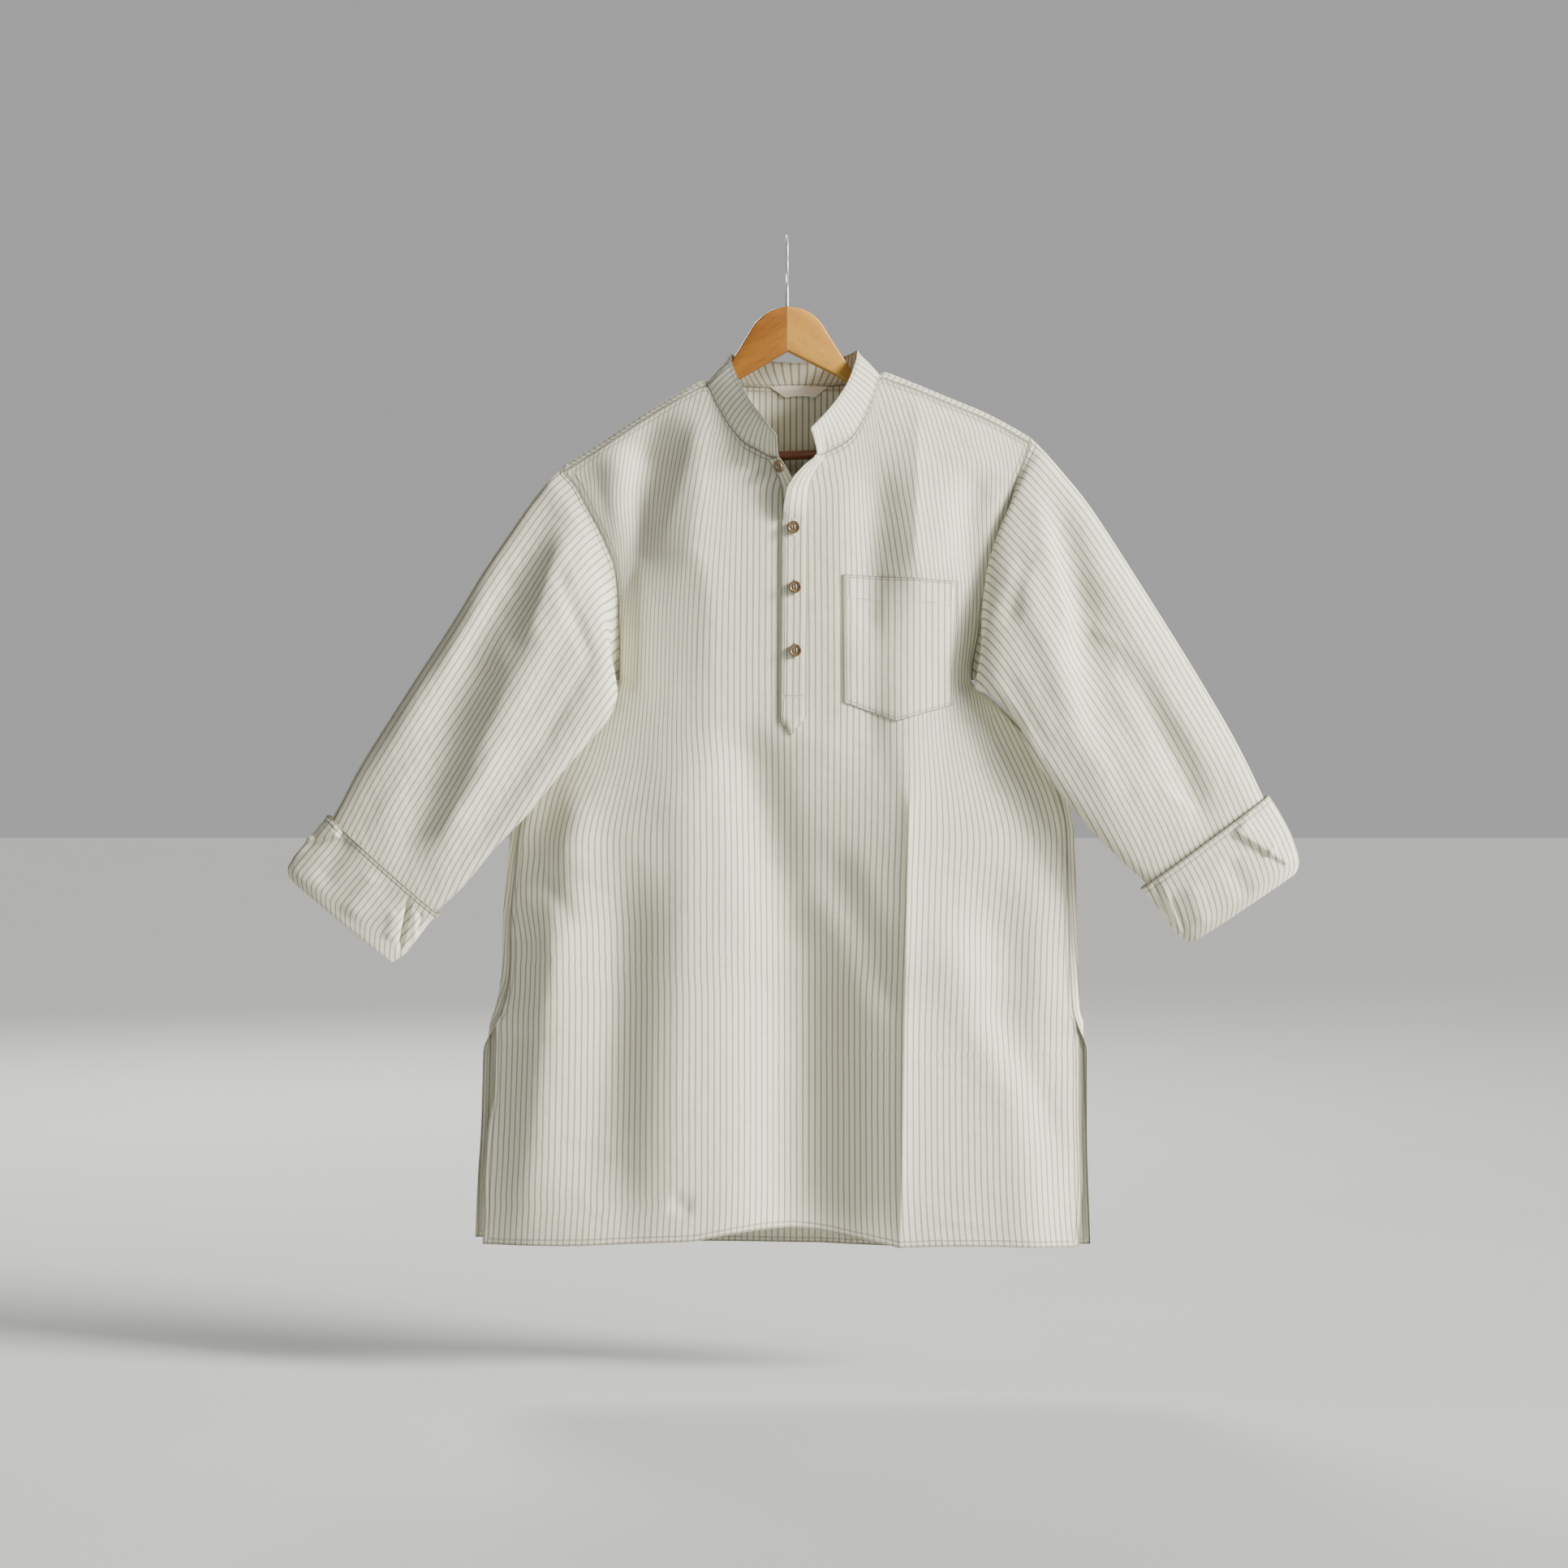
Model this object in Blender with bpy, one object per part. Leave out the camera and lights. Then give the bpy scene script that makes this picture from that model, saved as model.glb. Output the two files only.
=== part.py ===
"""A long-sleeved cotton kurta tunic on a wooden hanger: collar band, half placket, chest pocket,
turned-up sleeves and open side slits. Sizes are in millimetres; the origin is inside the top of
the hanger's hook, -Y is the front and +Z is up."""

import math
from collections import namedtuple

import bmesh
import bpy
import numpy as np
from mathutils import Vector

# Cloth and sewing
MM = 0.001
WALL = 1.5
SEAM_GAP = 0.3
LAYER = WALL + 0.45
SHOULDER_ROLL = 9.0
SIDE_INSET = 9.0
CORNER_STEP = 3.0
UNDERARM_EASE = 1.2

# Levels down the body
UNDERARM_Z = -450.0
YOKE_Z = -560.0
CHEST_TOP_Z = -200.0
SLIT_TOP_Z = -803.0
HEM_Z = -1020.0
OPENING_TOP_Z = -226.0

# Corners of the shoulders and neck on the shoulder line
LEFT_TIP_X = -227.0
LEFT_NECK_X = -82.0
RIGHT_NECK_X = 95.0
RIGHT_TIP_X = 247.0

# Hanger
HOOK_WIRE = 2.6
HOOK_INNER_RADIUS = 20.0
STEM_TOP_Z = -55.0
WOOD_TOP_Z = -71.5
ARM_THICKNESS = 9.0
ARM_DEPTH = 24.0
ARM_SWEEP = 16.0
ARM_EASE = 2.8
ARM_DROP = 2.9
NECK_DIP = 7.0
BAR_DIAMETER = 9.4
BAR_DROP_Z = -221.5
HANGER_TILT = 0.045
HEEL_STEP = 0.5

# Buttons
BUTTON_DIAMETER = 12.7
BUTTON_THICKNESS = 2.4
HOLE_DIAMETER = 1.7
HOLE_PITCH = 2.7

Line = namedtuple("Line", "x z")
Profile = namedtuple("Profile", "z value")
Column = namedtuple("Column", "top base hem")
Opening = namedtuple("Opening", "z strip under under_rise slit placket stitch")
Fold = namedtuple("Fold", "x0 z0 x1 z1 width height sharp")
Section = namedtuple("Section", "outer_x outer_z inner_x inner_z bow outer_y inner_y front back")
Rim = namedtuple("Rim", "share x y z")

# The line of the shoulders, left tip to right tip
RIDGE = [Line(-260, -252), Line(-227, -231), Line(-205, -217.5), Line(-182, -203), Line(-155, -185),
         Line(-125, -166), Line(-82, -144.5), Line(0, -106), Line(95, -136.5), Line(133, -149.5),
         Line(164, -162.6), Line(195, -174.7), Line(220, -186.7), Line(247, -202.3), Line(280, -222)]

# Armholes from the shoulder tips, then the outermost line of the body down to the hem
LEFT_SIDE = [Profile(-225, -228), Profile(-239, -222), Profile(-273, -205), Profile(-306, -187),
             Profile(-333, -176), Profile(-360, -172), Profile(-417, -170), Profile(-450, -171),
             Profile(-471, -199), Profile(-530, -254), Profile(-580, -277), Profile(-607, -281),
             Profile(-683, -289), Profile(-739, -290), Profile(-771, -292), Profile(-803, -304.5),
             Profile(-826, -309), Profile(-925, -312), Profile(-960, -315), Profile(-1020, -317)]
RIGHT_SIDE = [Profile(-196, 248), Profile(-206, 243), Profile(-232, 239), Profile(-252, 231),
              Profile(-328, 212), Profile(-390, 198), Profile(-435, 187.5), Profile(-450, 187),
              Profile(-471, 212), Profile(-520, 262), Profile(-570, 287), Profile(-586, 291.5),
              Profile(-677, 294), Profile(-739, 296), Profile(-783, 297.7), Profile(-803, 302.5),
              Profile(-826, 305), Profile(-925, 305), Profile(-1020, 308.7)]

# Free front edges below the side slits
LEFT_FLAP = [Profile(-803, -297), Profile(-826, -298.5), Profile(-860, -298.5), Profile(-890, -302),
             Profile(-920, -306.5), Profile(-950, -308.5), Profile(-985, -307.5), Profile(-1020, -309.6)]
RIGHT_FLAP = [Profile(-803, 295.5), Profile(-826, 297.5), Profile(-900, 298), Profile(-960, 300),
              Profile(-1020, 296)]

# Front and back hems, left to right
FRONT_HEM = [Line(-318, -1023.5), Line(-210, -1022), Line(-142, -1018.5), Line(-92, -1016.5),
             Line(-60, -1010), Line(-20, -1005.5), Line(5, -1005), Line(35, -1008), Line(75, -1015),
             Line(113, -1022.5), Line(180, -1021.5), Line(245, -1024), Line(310, -1027.5)]
BACK_HEM = [Line(-318, -1017), Line(-200, -1021), Line(-123, -1025), Line(24, -1026),
            Line(70, -1029), Line(114, -1031), Line(212, -1029.5), Line(310, -1024)]

# Neck seam: front from the left shoulder to the right one, and the back neck
LEFT_NECK = [Line(-82, -152.5), Line(-75.5, -165), Line(-62.4, -188), Line(-49, -207.7),
             Line(-31.7, -217.5), Line(-20, -224.5), Line(-8, -228)]
RIGHT_NECK = [Line(29, -226), Line(38, -222), Line(47.5, -217.5), Line(65, -205.5),
              Line(80.4, -181.3), Line(89.2, -159.3), Line(95, -144.5)]
BACK_NECK = [Rim(0, -76, 1, -143), Rim(0, -70, 9.5, -145), Rim(0, -57, 17, -147.5),
             Rim(0, -30, 22.5, -149), Rim(0, 6, 24.5, -149.5), Rim(0, 42, 22.5, -148),
             Rim(0, 70, 17, -145.5), Rim(0, 83, 9.5, -140.5), Rim(0, 89, 1, -136)]

# Depth of the front and back from the middle plane, and at the armhole edges
FRONT_DEPTH = [Profile(-150, 20), Profile(-300, 33), Profile(-450, 37), Profile(-600, 38),
               Profile(-800, 34), Profile(-1020, 31)]
BACK_DEPTH = [Profile(-150, 24), Profile(-300, 30), Profile(-450, 34), Profile(-600, 35),
              Profile(-800, 32), Profile(-1020, 29)]
FRONT_EDGE = [Profile(-200, 9), Profile(-250, 12), Profile(-330, 17), Profile(-400, 11),
              Profile(-430, 6.5), Profile(-450, 0)]
BACK_EDGE = [Profile(-200, 10), Profile(-250, 13), Profile(-330, 15), Profile(-400, 10),
             Profile(-430, 6), Profile(-450, 0)]

# Front columns left and right of the opening; the rest are spread out to the sides
LEFT_COLUMNS = [Column(-150, -150, -165), Column(-118, -125, -143), Column(-82, -103, -121),
                Column(-70, -80, -97), Column(-57, -60, -72), Column(-44, -42, -48),
                Column(-31, -24, -26)]
RIGHT_COLUMNS = [Column(49, 40, 40), Column(65, 60, 62), Column(78, 80, 82), Column(87, 94, 94),
                 Column(95, 104, 103), Column(113, 113, 108.5), Column(131, 122, 113),
                 Column(142, 135, 128), Column(155, 155, 155)]
BACK_COLUMNS = [Column(-150, -150, -155), Column(-116, -122, -128), Column(-82, -96, -104),
                Column(-76, -82, -88), Column(-70, -68, -70), Column(-57, -50, -50),
                Column(-30, -25, -25), Column(6, 4, 2), Column(42, 34, 30), Column(70, 60, 56),
                Column(83, 79, 77), Column(89, 93, 95), Column(95, 106, 110),
                Column(125, 130, 134), Column(158, 158, 160)]

# The neck opening: edge of the under strip, and both edges of the upper placket
OPENING = [Opening(-228, -20, -8, 15, 30, 28.5, 38), Opening(-236, -15, -3, 15, 21, 17.5, 31.5),
           Opening(-247, -9, 4.6, 13, 14.6, 6.8, 25), Opening(-258, -6, 10, 7, 14.8, -0.5, 22.3),
           Opening(-275, -5.5, 13.4, 1.0, 15.2, -3.7, 21.3), Opening(-294, -5, 14, 0, 15.2, -5.6, 21.2),
           Opening(-385, -5.5, 14, 0, 15.2, -6, 20.6), Opening(-470, -6, 14, 0, 15.2, -6.9, 19.4),
           Opening(-600, -6, 14, 0, 15.2, -6.9, 19.4)]
PLACKET_WIDTH = 26.2
PLACKET_FOOT = [Line(-6.9, -493.6), Line(4, -507), Line(14.5, -495), Line(19.4, -489)]

# The largest folds: a ridge toward the viewer has a positive height
FRONT_FOLDS = [Fold(-84, -165, -121, -1060, 46, 11, 0.5), Fold(131, -175, 113, -1060, 50, 13, 0.35),
               Fold(-128, -180, -176, -400, 26, -17, 1), Fold(-165, -215, -178, -330, 24, 8, 1),
               Fold(195, -235, 180, -400, 20, -12, 1), Fold(20, -560, 40, -1060, 42, -9, 1),
               Fold(190, -640, 300, -960, 34, -11, 1), Fold(-150, -640, -205, -1000, 34, -9, 1),
               Fold(-205, -560, -285, -1010, 30, 8, 1), Fold(-262, -620, -170, -480, 22, -8, 1),
               Fold(250, -700, 255, -1060, 30, 7, 1), Fold(90, -230, 82, -420, 22, -5, 1)]
BACK_FOLDS = [Fold(-118, -170, -118, -1060, 46, 10, 0.5), Fold(118, -170, 116, -1060, 46, 10, 0.5),
              Fold(0, -420, 6, -1060, 44, -10, 1), Fold(-150, -200, -190, -420, 26, -9, 1),
              Fold(160, -190, 196, -420, 26, -9, 1), Fold(-200, -560, -240, -1000, 32, -9, 1),
              Fold(215, -560, 260, -1000, 32, -9, 1)]
SLEEVE_FOLDS = [Fold(-236, -265, -378, -560, 17, -8, 1), Fold(-205, -320, -330, -600, 15, 7, 1),
                Fold(-300, -345, -425, -560, 15, 6, 1), Fold(-215, -470, -330, -640, 13, -5, 1),
                Fold(262, -250, 345, -560, 17, -7, 1), Fold(232, -330, 330, -600, 16, 6, 1),
                Fold(310, -320, 430, -560, 15, 6, 1), Fold(330, -420, 425, -610, 13, -5, 1)]

# Sleeve sections from the armhole to the wrist: outer line, underarm line, and depth
LEFT_SLEEVE = [Section(-241, -245, -181, -451, 24, 3, -10, 20, 11),
               Section(-259, -267, -171, -464, 18, 1, -28, 22, 11),
               Section(-283, -302, -177, -486, 13, -2, -40, 23, 13),
               Section(-309, -341, -200, -515, 8, -6, -44, 23, 13),
               Section(-339, -391, -230, -549, 4, -10, -45, 22, 14),
               Section(-371, -441, -262, -588, 1, -14, -44, 21, 15),
               Section(-402, -490, -294, -621, 0, -18, -42, 20, 15),
               Section(-433, -541, -324, -657, 0, -22, -40, 18, 14),
               Section(-451.5, -577, -346, -678, 0, -25, -38, 16, 13),
               Section(-470, -610, -367, -696, 0, -27, -36, 14, 12),
               Section(-490.9, -639.2, -389.4, -722.2, 0, -28, -34, 9, 8)]
RIGHT_SLEEVE = [Section(260, -216, 197, -450, 24, 3, -10, 20, 11),
                Section(279, -238, 189, -460, 18, 1, -28, 22, 11),
                Section(303, -268, 203, -466, 13, -2, -40, 23, 13),
                Section(330, -309, 229, -492, 8, -6, -44, 23, 13),
                Section(358, -354, 247, -530, 3, -10, -45, 22, 14),
                Section(389, -404, 277, -569, 1, -14, -44, 21, 15),
                Section(422, -459, 307, -604, 0, -18, -42, 20, 15),
                Section(452, -512, 338, -635, 0, -22, -40, 18, 14),
                Section(472.5, -554, 358, -653, 0, -25, -38, 16, 13),
                Section(488, -590, 376, -675, 0, -27, -36, 14, 12),
                Section(501.9, -633.2, 397.4, -703.2, 0, -28, -34, 9, 8)]

# Turned-up cuffs from the upper edge to the fold at the wrist and the short return inside it,
# which meets the end of the sleeve
LEFT_CUFF = [Section(-463, -586.5, -349, -687, 0, -26, -37, 23, 19),
             Section(-476, -606, -358, -693, 0, -27, -36, 21, 18),
             Section(-491, -624, -371, -710, 0, -28, -35, 19, 17),
             Section(-503, -641, -384, -726, 0, -28, -34, 17, 15),
             Section(-500, -652, -397, -735, 0, -28, -34, 14, 12.5),
             Section(-491.5, -640, -390, -723, 0, -28, -34, 9, 8)]
RIGHT_CUFF = [Section(485, -567, 355, -661, 0, -26, -37, 23, 19),
              Section(499, -590, 365, -670, 0, -27, -36, 21, 18),
              Section(509, -611, 378, -688, 0, -28, -35, 19, 17),
              Section(515.5, -634, 392, -706, 0, -28, -34, 17, 15),
              Section(511, -646, 405, -716, 0, -28, -34, 14, 12.5),
              Section(502.5, -634, 398, -704, 0, -28, -34, 9, 8)]

# Upper edge of the collar from its left front end round to its right one
COLLAR_EDGE = [Rim(0.00, -10.3, -51, -207.7), Rim(0.07, -23, -44, -190), Rim(0.14, -36, -36, -172.5),
               Rim(0.21, -49, -25, -148.3), Rim(0.28, -57, -13, -126), Rim(0.34, -58, -1, -118.5),
               Rim(0.41, -46, 11, -121), Rim(0.50, 6, 18, -124.6), Rim(0.59, 59, 11, -119),
               Rim(0.66, 71, -1, -114.5), Rim(0.72, 70.5, -13, -122), Rim(0.79, 62.8, -25, -146.2),
               Rim(0.86, 51.8, -36, -166), Rim(0.93, 38.5, -46, -183.5), Rim(1.00, 23.3, -57, -200.7)]

COLLAR_ROWS = (0.0, 0.34, 0.67, 1.0)
COLLAR_BULGE = 1.6
COLLAR_CENTRE = np.array([6.0, 0.0, -160.0])

# Chest pocket corners and foot
POCKET_TOP = [Line(55.7, -345.1), Line(172.5, -351.7)]
POCKET_FOOT = [Line(56.6, -474), Line(108.9, -493.2), Line(167, -476.5)]

# Hanger arm outline on the left of the middle joint: top, then underside
HUMP = [Line(0, -71.5), Line(14, -74), Line(31, -85), Line(43, -103), Line(53, -119), Line(62, -133),
        Line(71, -145)]
ARM_UNDER = [Line(0, -117.6), Line(51, -144.5), Line(80, -166)]

BUTTONS = [Line(6.3, -298.1), Line(7.7, -358.3), Line(8.0, -422.0)]
TOP_BUTTON_Z = -236.5
TOP_BUTTON_SHARE = 0.62
BUTTON_REST = 0.7
LABEL_THICKNESS = 1.0
POCKET_LAYERS = 1.2
POCKET_CORNER_LIFT = 1.8
LABEL_EASE = 0.1
LABEL = [Line(-17.6, -152), Line(41.8, -152), Line(28, -165), Line(-2, -165)]

COTTON = (0.80, 0.79, 0.74)
SATIN = (0.82, 0.78, 0.66)
PALE_WOOD = (0.60, 0.38, 0.18)
RED_WOOD = (0.38, 0.14, 0.05)
STEEL = (0.62, 0.62, 0.62)
HORN = (0.36, 0.24, 0.12)


def level(profile, z):
    """The value of a profile at a height, or at an array of heights."""
    ordered = sorted(profile)
    return np.interp(z, [p.z for p in ordered], [p.value for p in ordered])


def along(line, x):
    """The height of a line at a place across the garment."""
    ordered = sorted(line)
    return np.interp(x, [p.x for p in ordered], [p.z for p in ordered])


def opening(name, z):
    ordered = sorted(OPENING)
    return np.interp(z, [o.z for o in ordered], [getattr(o, name) for o in ordered])


def ease(low, high, value):
    """Rises smoothly from 0 at low to 1 at high."""
    part = np.clip((value - low) / (high - low), 0, 1)
    return part * part * (3 - 2 * part)


def mix(start, end, share):
    return start + (end - start) * share


def unit(vectors):
    lengths = np.linalg.norm(vectors, axis=-1, keepdims=True)
    return vectors / np.maximum(lengths, 1e-9)


def fold_height(x, z, folds):
    """Sum of soft ridges and troughs at a place, in millimetres."""
    total = 0.0
    for fold in folds:
        run = np.array([fold.x1 - fold.x0, fold.z1 - fold.z0])
        length = np.hypot(*run)
        share = ((x - fold.x0) * run[0] + (z - fold.z0) * run[1]) / length**2
        across = abs((x - fold.x0) * run[1] - (z - fold.z0) * run[0]) / length / fold.width
        shape = np.exp(-across**2)
        if fold.sharp < 1:
            shape = np.exp(-((across**2 + fold.sharp**4) ** 0.5))
        fade = ease(-0.05, 0.22, share) * (1 - ease(0.78, 1.05, share))
        total = total + fold.height * shape * fade
    return total


def arm_y(x):
    """Depth of the hanger's arms, which sweep back from the middle."""
    return -8.0 + ARM_SWEEP * np.minimum(abs(x) / 220.0, 1.0)


def depth(x, z, depths, edges):
    """Distance of a panel from the middle plane."""
    left = level(LEFT_SIDE, z)
    right = level(RIGHT_SIDE, z)
    across = np.clip(2 * (x - left) / (right - left) - 1, -1, 1)
    edge = level(edges, z)
    power = mix(0.6, 1.0, ease(UNDERARM_Z - 30, UNDERARM_Z + 60, z))
    lens = (1 - across**4) ** power
    drop = 1 - np.exp(-np.maximum(along(RIDGE, x) - z, 0) / 55.0)
    full = SHOULDER_ROLL + (level(depths, z) - SHOULDER_ROLL) * drop
    return edge + (full - edge) * lens


def near_edge(x, z):
    """0 at the outline of the body and 1 well inside it."""
    left = x - level(LEFT_SIDE, z)
    right = level(RIGHT_SIDE, z) - x
    return ease(0, 60, np.minimum(left, right))


def ridge_share(x, z):
    return np.exp(-np.maximum(along(RIDGE, x) - z, 0) / 70.0)


def front_y(x, z):
    folds = fold_height(x, z, FRONT_FOLDS) * near_edge(x, z)
    return arm_y(x) * ridge_share(x, z) - depth(x, z, FRONT_DEPTH, FRONT_EDGE) - folds


def back_y(x, z):
    folds = fold_height(x, z, BACK_FOLDS) * near_edge(x, z)
    return arm_y(x) * ridge_share(x, z) + depth(x, z, BACK_DEPTH, BACK_EDGE) + folds


UPPER_ROWS = [0.0, 0.14, 0.27, 0.335, 0.40, 0.46, 0.52, 0.58, 0.64, 0.70, 0.76, 0.82, 0.88, 0.94, 1.0]
UNDERARM_ROW = UPPER_ROWS.index(0.335)
SLIT_ROW = UPPER_ROWS.index(0.27)
LOWER_ROWS = [-1020.0, -992.0, -955.0, -910.0, -865.0, -828.0, -803.0, -785.0, -745.0, -695.0,
              -650.0, -605.0]
ROLL_ANGLES = [45, 0, -40, -80]


def row_height(share, top_z):
    """Height of an upper row: level up to the underarm, then following the upper edge."""
    low = UPPER_ROWS[UNDERARM_ROW]
    if share <= low:
        return mix(YOKE_Z, UNDERARM_Z, share / low)
    return mix(UNDERARM_Z, top_z, (share - low) / (1 - low))


def column_x(column, z):
    if z > CHEST_TOP_Z:
        return column.top
    if z > YOKE_Z:
        return mix(column.base, column.top, (z - YOKE_Z) / (CHEST_TOP_Z - YOKE_Z))
    return mix(column.base, column.hem, (YOKE_Z - z) / (YOKE_Z - HEM_Z))


def seam_end(x):
    """The end of the shoulder seam on the front of the rolled shoulder."""
    return roll_point(x, ROLL_ANGLES[-1])


def roll_point(x, degrees):
    angle = math.radians(degrees)
    ridge = along(RIDGE, x)
    y = arm_y(x) + SHOULDER_ROLL * math.sin(angle)
    return np.array([x, y, ridge - SHOULDER_ROLL * (1 - math.cos(angle))])


def pinned(below):
    """Share of a correction made at a panel's upper edge that is left a little below it."""
    return math.exp(-below / 12.0)


def hem_shift(line, x, z):
    return (along(line, x) - HEM_Z) * (1 - ease(HEM_Z, -865.0, z))


def front_side(z, left):
    """Where the front panel ends at a height: armhole, side seam or free slit edge."""
    outline = level(LEFT_SIDE if left else RIGHT_SIDE, z)
    if z >= UNDERARM_Z:
        return outline
    if z < SLIT_TOP_Z:
        return level(LEFT_FLAP if left else RIGHT_FLAP, z)
    inset = SIDE_INSET * ease(-15, 60, UNDERARM_Z - z)
    inset = mix(inset, 7.2, ease(-770, SLIT_TOP_Z, z) if z < -770 else 0)
    return outline + (inset if left else -inset)


def spread(edge, inner, shares):
    return [mix(edge, inner, share) for share in shares]


FRONT_SPREAD = [0.0, 0.12, 0.32, 0.62]


def front_columns(z):
    """Places across one front row, with the two edges of the opening in the middle."""
    left_edge = front_side(z, True)
    right_edge = front_side(z, False)
    left = [column_x(c, z) for c in LEFT_COLUMNS]
    right = [column_x(c, z) for c in RIGHT_COLUMNS]
    xs = spread(left_edge, left[0], FRONT_SPREAD) + left
    fold = opening("strip", z) + 1.2
    edge = opening("under", z) - 0.7
    xs += [fold, (fold + edge) / 2, edge]
    xs += [opening("slit", z), opening("stitch", z)] + right
    xs += spread(right_edge, right[-1], FRONT_SPREAD)[::-1]
    return xs


OPENING_COLUMN = len(FRONT_SPREAD) + len(LEFT_COLUMNS) + 2


def flap_rise(index, z):
    """How far the two flaps of the open neck stand out toward the viewer."""
    if index in (OPENING_COLUMN - 1, OPENING_COLUMN):
        wide = opening("under", z) - opening("strip", z)
        rise = clear_rise(opening("under_rise", z), wide, 1.0, 1.5)
        return rise if index == OPENING_COLUMN else rise / 2
    if index == OPENING_COLUMN + 1:
        wide = opening("stitch", z) - opening("placket", z)
        full = math.sqrt(max(PLACKET_WIDTH**2 - wide**2, 0.0))
        return clear_rise(full, wide, (opening("stitch", z) - opening("slit", z)) / wide, 2.0)
    return 0.0


def clear_rise(full, wide, share, layers):
    """The panel stays a full layer behind a strip that stands out at a steep angle."""
    return max(full * share - LAYER * layers * (math.hypot(full, wide) / wide - 1), 0.0)


def front_top(index, x):
    """Upper end of a front column: the shoulder seam or the neck seam."""
    if x <= LEFT_NECK_X or x >= RIGHT_NECK_X:
        return seam_end(x)
    line = LEFT_NECK if index <= OPENING_COLUMN else RIGHT_NECK
    z = along(line, x)
    return np.array([x, front_y(x, z), z])


def front_grid():
    rows = []
    top_xs = front_columns(OPENING_TOP_Z)
    top_xs[0:4] = spread(LEFT_TIP_X, LEFT_COLUMNS[0].top, FRONT_SPREAD)
    top_xs[-4:] = spread(RIGHT_TIP_X, RIGHT_COLUMNS[-1].top, FRONT_SPREAD)[::-1]
    count = len(top_xs)
    tops = [front_top(i, x) for i, x in enumerate(top_xs)]
    for z in LOWER_ROWS:
        row = []
        for index, x in enumerate(front_columns(z)):
            row.append((x, front_y(x, z), z + hem_shift(FRONT_HEM, x, z)))
        rows.append(row)
    for share in UPPER_ROWS:
        row = []
        for index in range(count):
            z = row_height(share, tops[index][2])
            x = front_columns(z)[index]
            if share == 1.0:
                x = top_xs[index]
            top = tops[index]
            pin = pinned(top[2] - z) * (top[1] - front_y(top_xs[index], top[2]))
            row.append((x, front_y(x, z) + pin - flap_rise(index, z), z))
        rows.append(row)
    return np.array(rows)


BACK_ROWS = UPPER_ROWS[:-1]
BACK_SIDE_COLUMNS = 6
NECK_SHARES = [0.955, 0.97, 0.985, 1.0]


def back_side(z, left):
    """The first four places of a back row, which wraps round the side seam to the front."""
    sign = 1 if left else -1
    outline = level(LEFT_SIDE if left else RIGHT_SIDE, z)
    wrap = ease(-15, 60, UNDERARM_Z - z) * ease(-826, -790, z)
    first = outline
    if SLIT_TOP_Z <= z < UNDERARM_Z:
        first = front_side(z, left)
    steps = [mix(4, 0, wrap), mix(8, 4, wrap), mix(13, 14, wrap)]
    xs = [first] + [outline + sign * step for step in steps]
    ys = [front_y(first, z) if SLIT_TOP_Z <= z < UNDERARM_Z else back_y(first, z)]
    ys += [back_y(x, z) for x in xs[1:]]
    return xs, ys


def back_row_xy(z):
    left_x, left_y = back_side(z, True)
    right_x, right_y = back_side(z, False)
    middle = [column_x(c, z) for c in BACK_COLUMNS]
    left_x = left_x + spread(left_x[-1], middle[0], [0.35, 0.7])
    right_x = right_x + spread(right_x[-1], middle[-1], [0.35, 0.7])
    xs = left_x + middle + right_x[::-1]
    ys = [back_y(x, z) for x in xs]
    ys[0:4] = left_y
    ys[-4:] = right_y[::-1]
    return xs, ys


def back_tops():
    """Upper end of each back column, and whether it rolls over the shoulder."""
    left = spread(LEFT_TIP_X, BACK_COLUMNS[0].top, [0, 0.1, 0.22, 0.36, 0.57, 0.79])
    right = spread(RIGHT_TIP_X, BACK_COLUMNS[-1].top, [0, 0.1, 0.22, 0.36, 0.57, 0.79])[::-1]
    xs = left + [c.top for c in BACK_COLUMNS] + right
    tops = []
    for x in xs:
        rolled = x <= LEFT_NECK_X or x >= RIGHT_NECK_X
        if rolled:
            tops.append((roll_point(x, 90), True))
        else:
            places = [r.x for r in BACK_NECK]
            y = np.interp(x, places, [r.y for r in BACK_NECK])
            tops.append((np.array([x, y, np.interp(x, places, [r.z for r in BACK_NECK])]), False))
    return tops


def corner_step(x, angle):
    """Keeps the rolled cloth beside the neck clear of the foot of the collar."""
    step = CORNER_STEP / 2 if angle == ROLL_ANGLES[-1] else CORNER_STEP
    if x == LEFT_NECK_X:
        return x - step
    return x + step if x == RIGHT_NECK_X else x


def stretch(share):
    """Rows above the underarm spread so that the last one before the roll ends a column."""
    low = UPPER_ROWS[UNDERARM_ROW]
    return share if share <= low else low + (share - low) * (1 - low) / (BACK_ROWS[-1] - low)


def back_grid():
    rows = []
    tops = back_tops()
    for z in LOWER_ROWS:
        xs, ys = back_row_xy(z)
        rows.append([(x, y, z + hem_shift(BACK_HEM, x, z)) for x, y in zip(xs, ys)])
    for share in BACK_ROWS + NECK_SHARES:
        row = []
        for index, (top, rolled) in enumerate(tops):
            if rolled and share > BACK_ROWS[-1]:
                angle = ROLL_ANGLES[NECK_SHARES.index(share)]
                row.append(roll_point(corner_step(top[0], angle), angle))
                continue
            reach = stretch(share) if rolled else share
            z = row_height(reach, top[2])
            xs, ys = back_row_xy(z)
            x, y = (top[0], top[1]) if reach > 0.9999 else (xs[index], ys[index])
            pin = pinned(top[2] - z) * (top[1] - back_y(top[0], top[2])) if reach < 0.9999 else 0.0
            row.append((x, y + pin, z))
        rows.append(row)
    return np.array(rows)


def grid_quads(rows, columns, closed=False):
    """Quads of a grid of points stored row by row; closed joins the last column to the first."""
    quads = []
    last = columns if closed else columns - 1
    for r in range(rows - 1):
        for c in range(last):
            d = (c + 1) % columns
            low = r * columns
            high = low + columns
            quads.append((low + c, low + d, high + d, high + c))
    return quads


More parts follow.
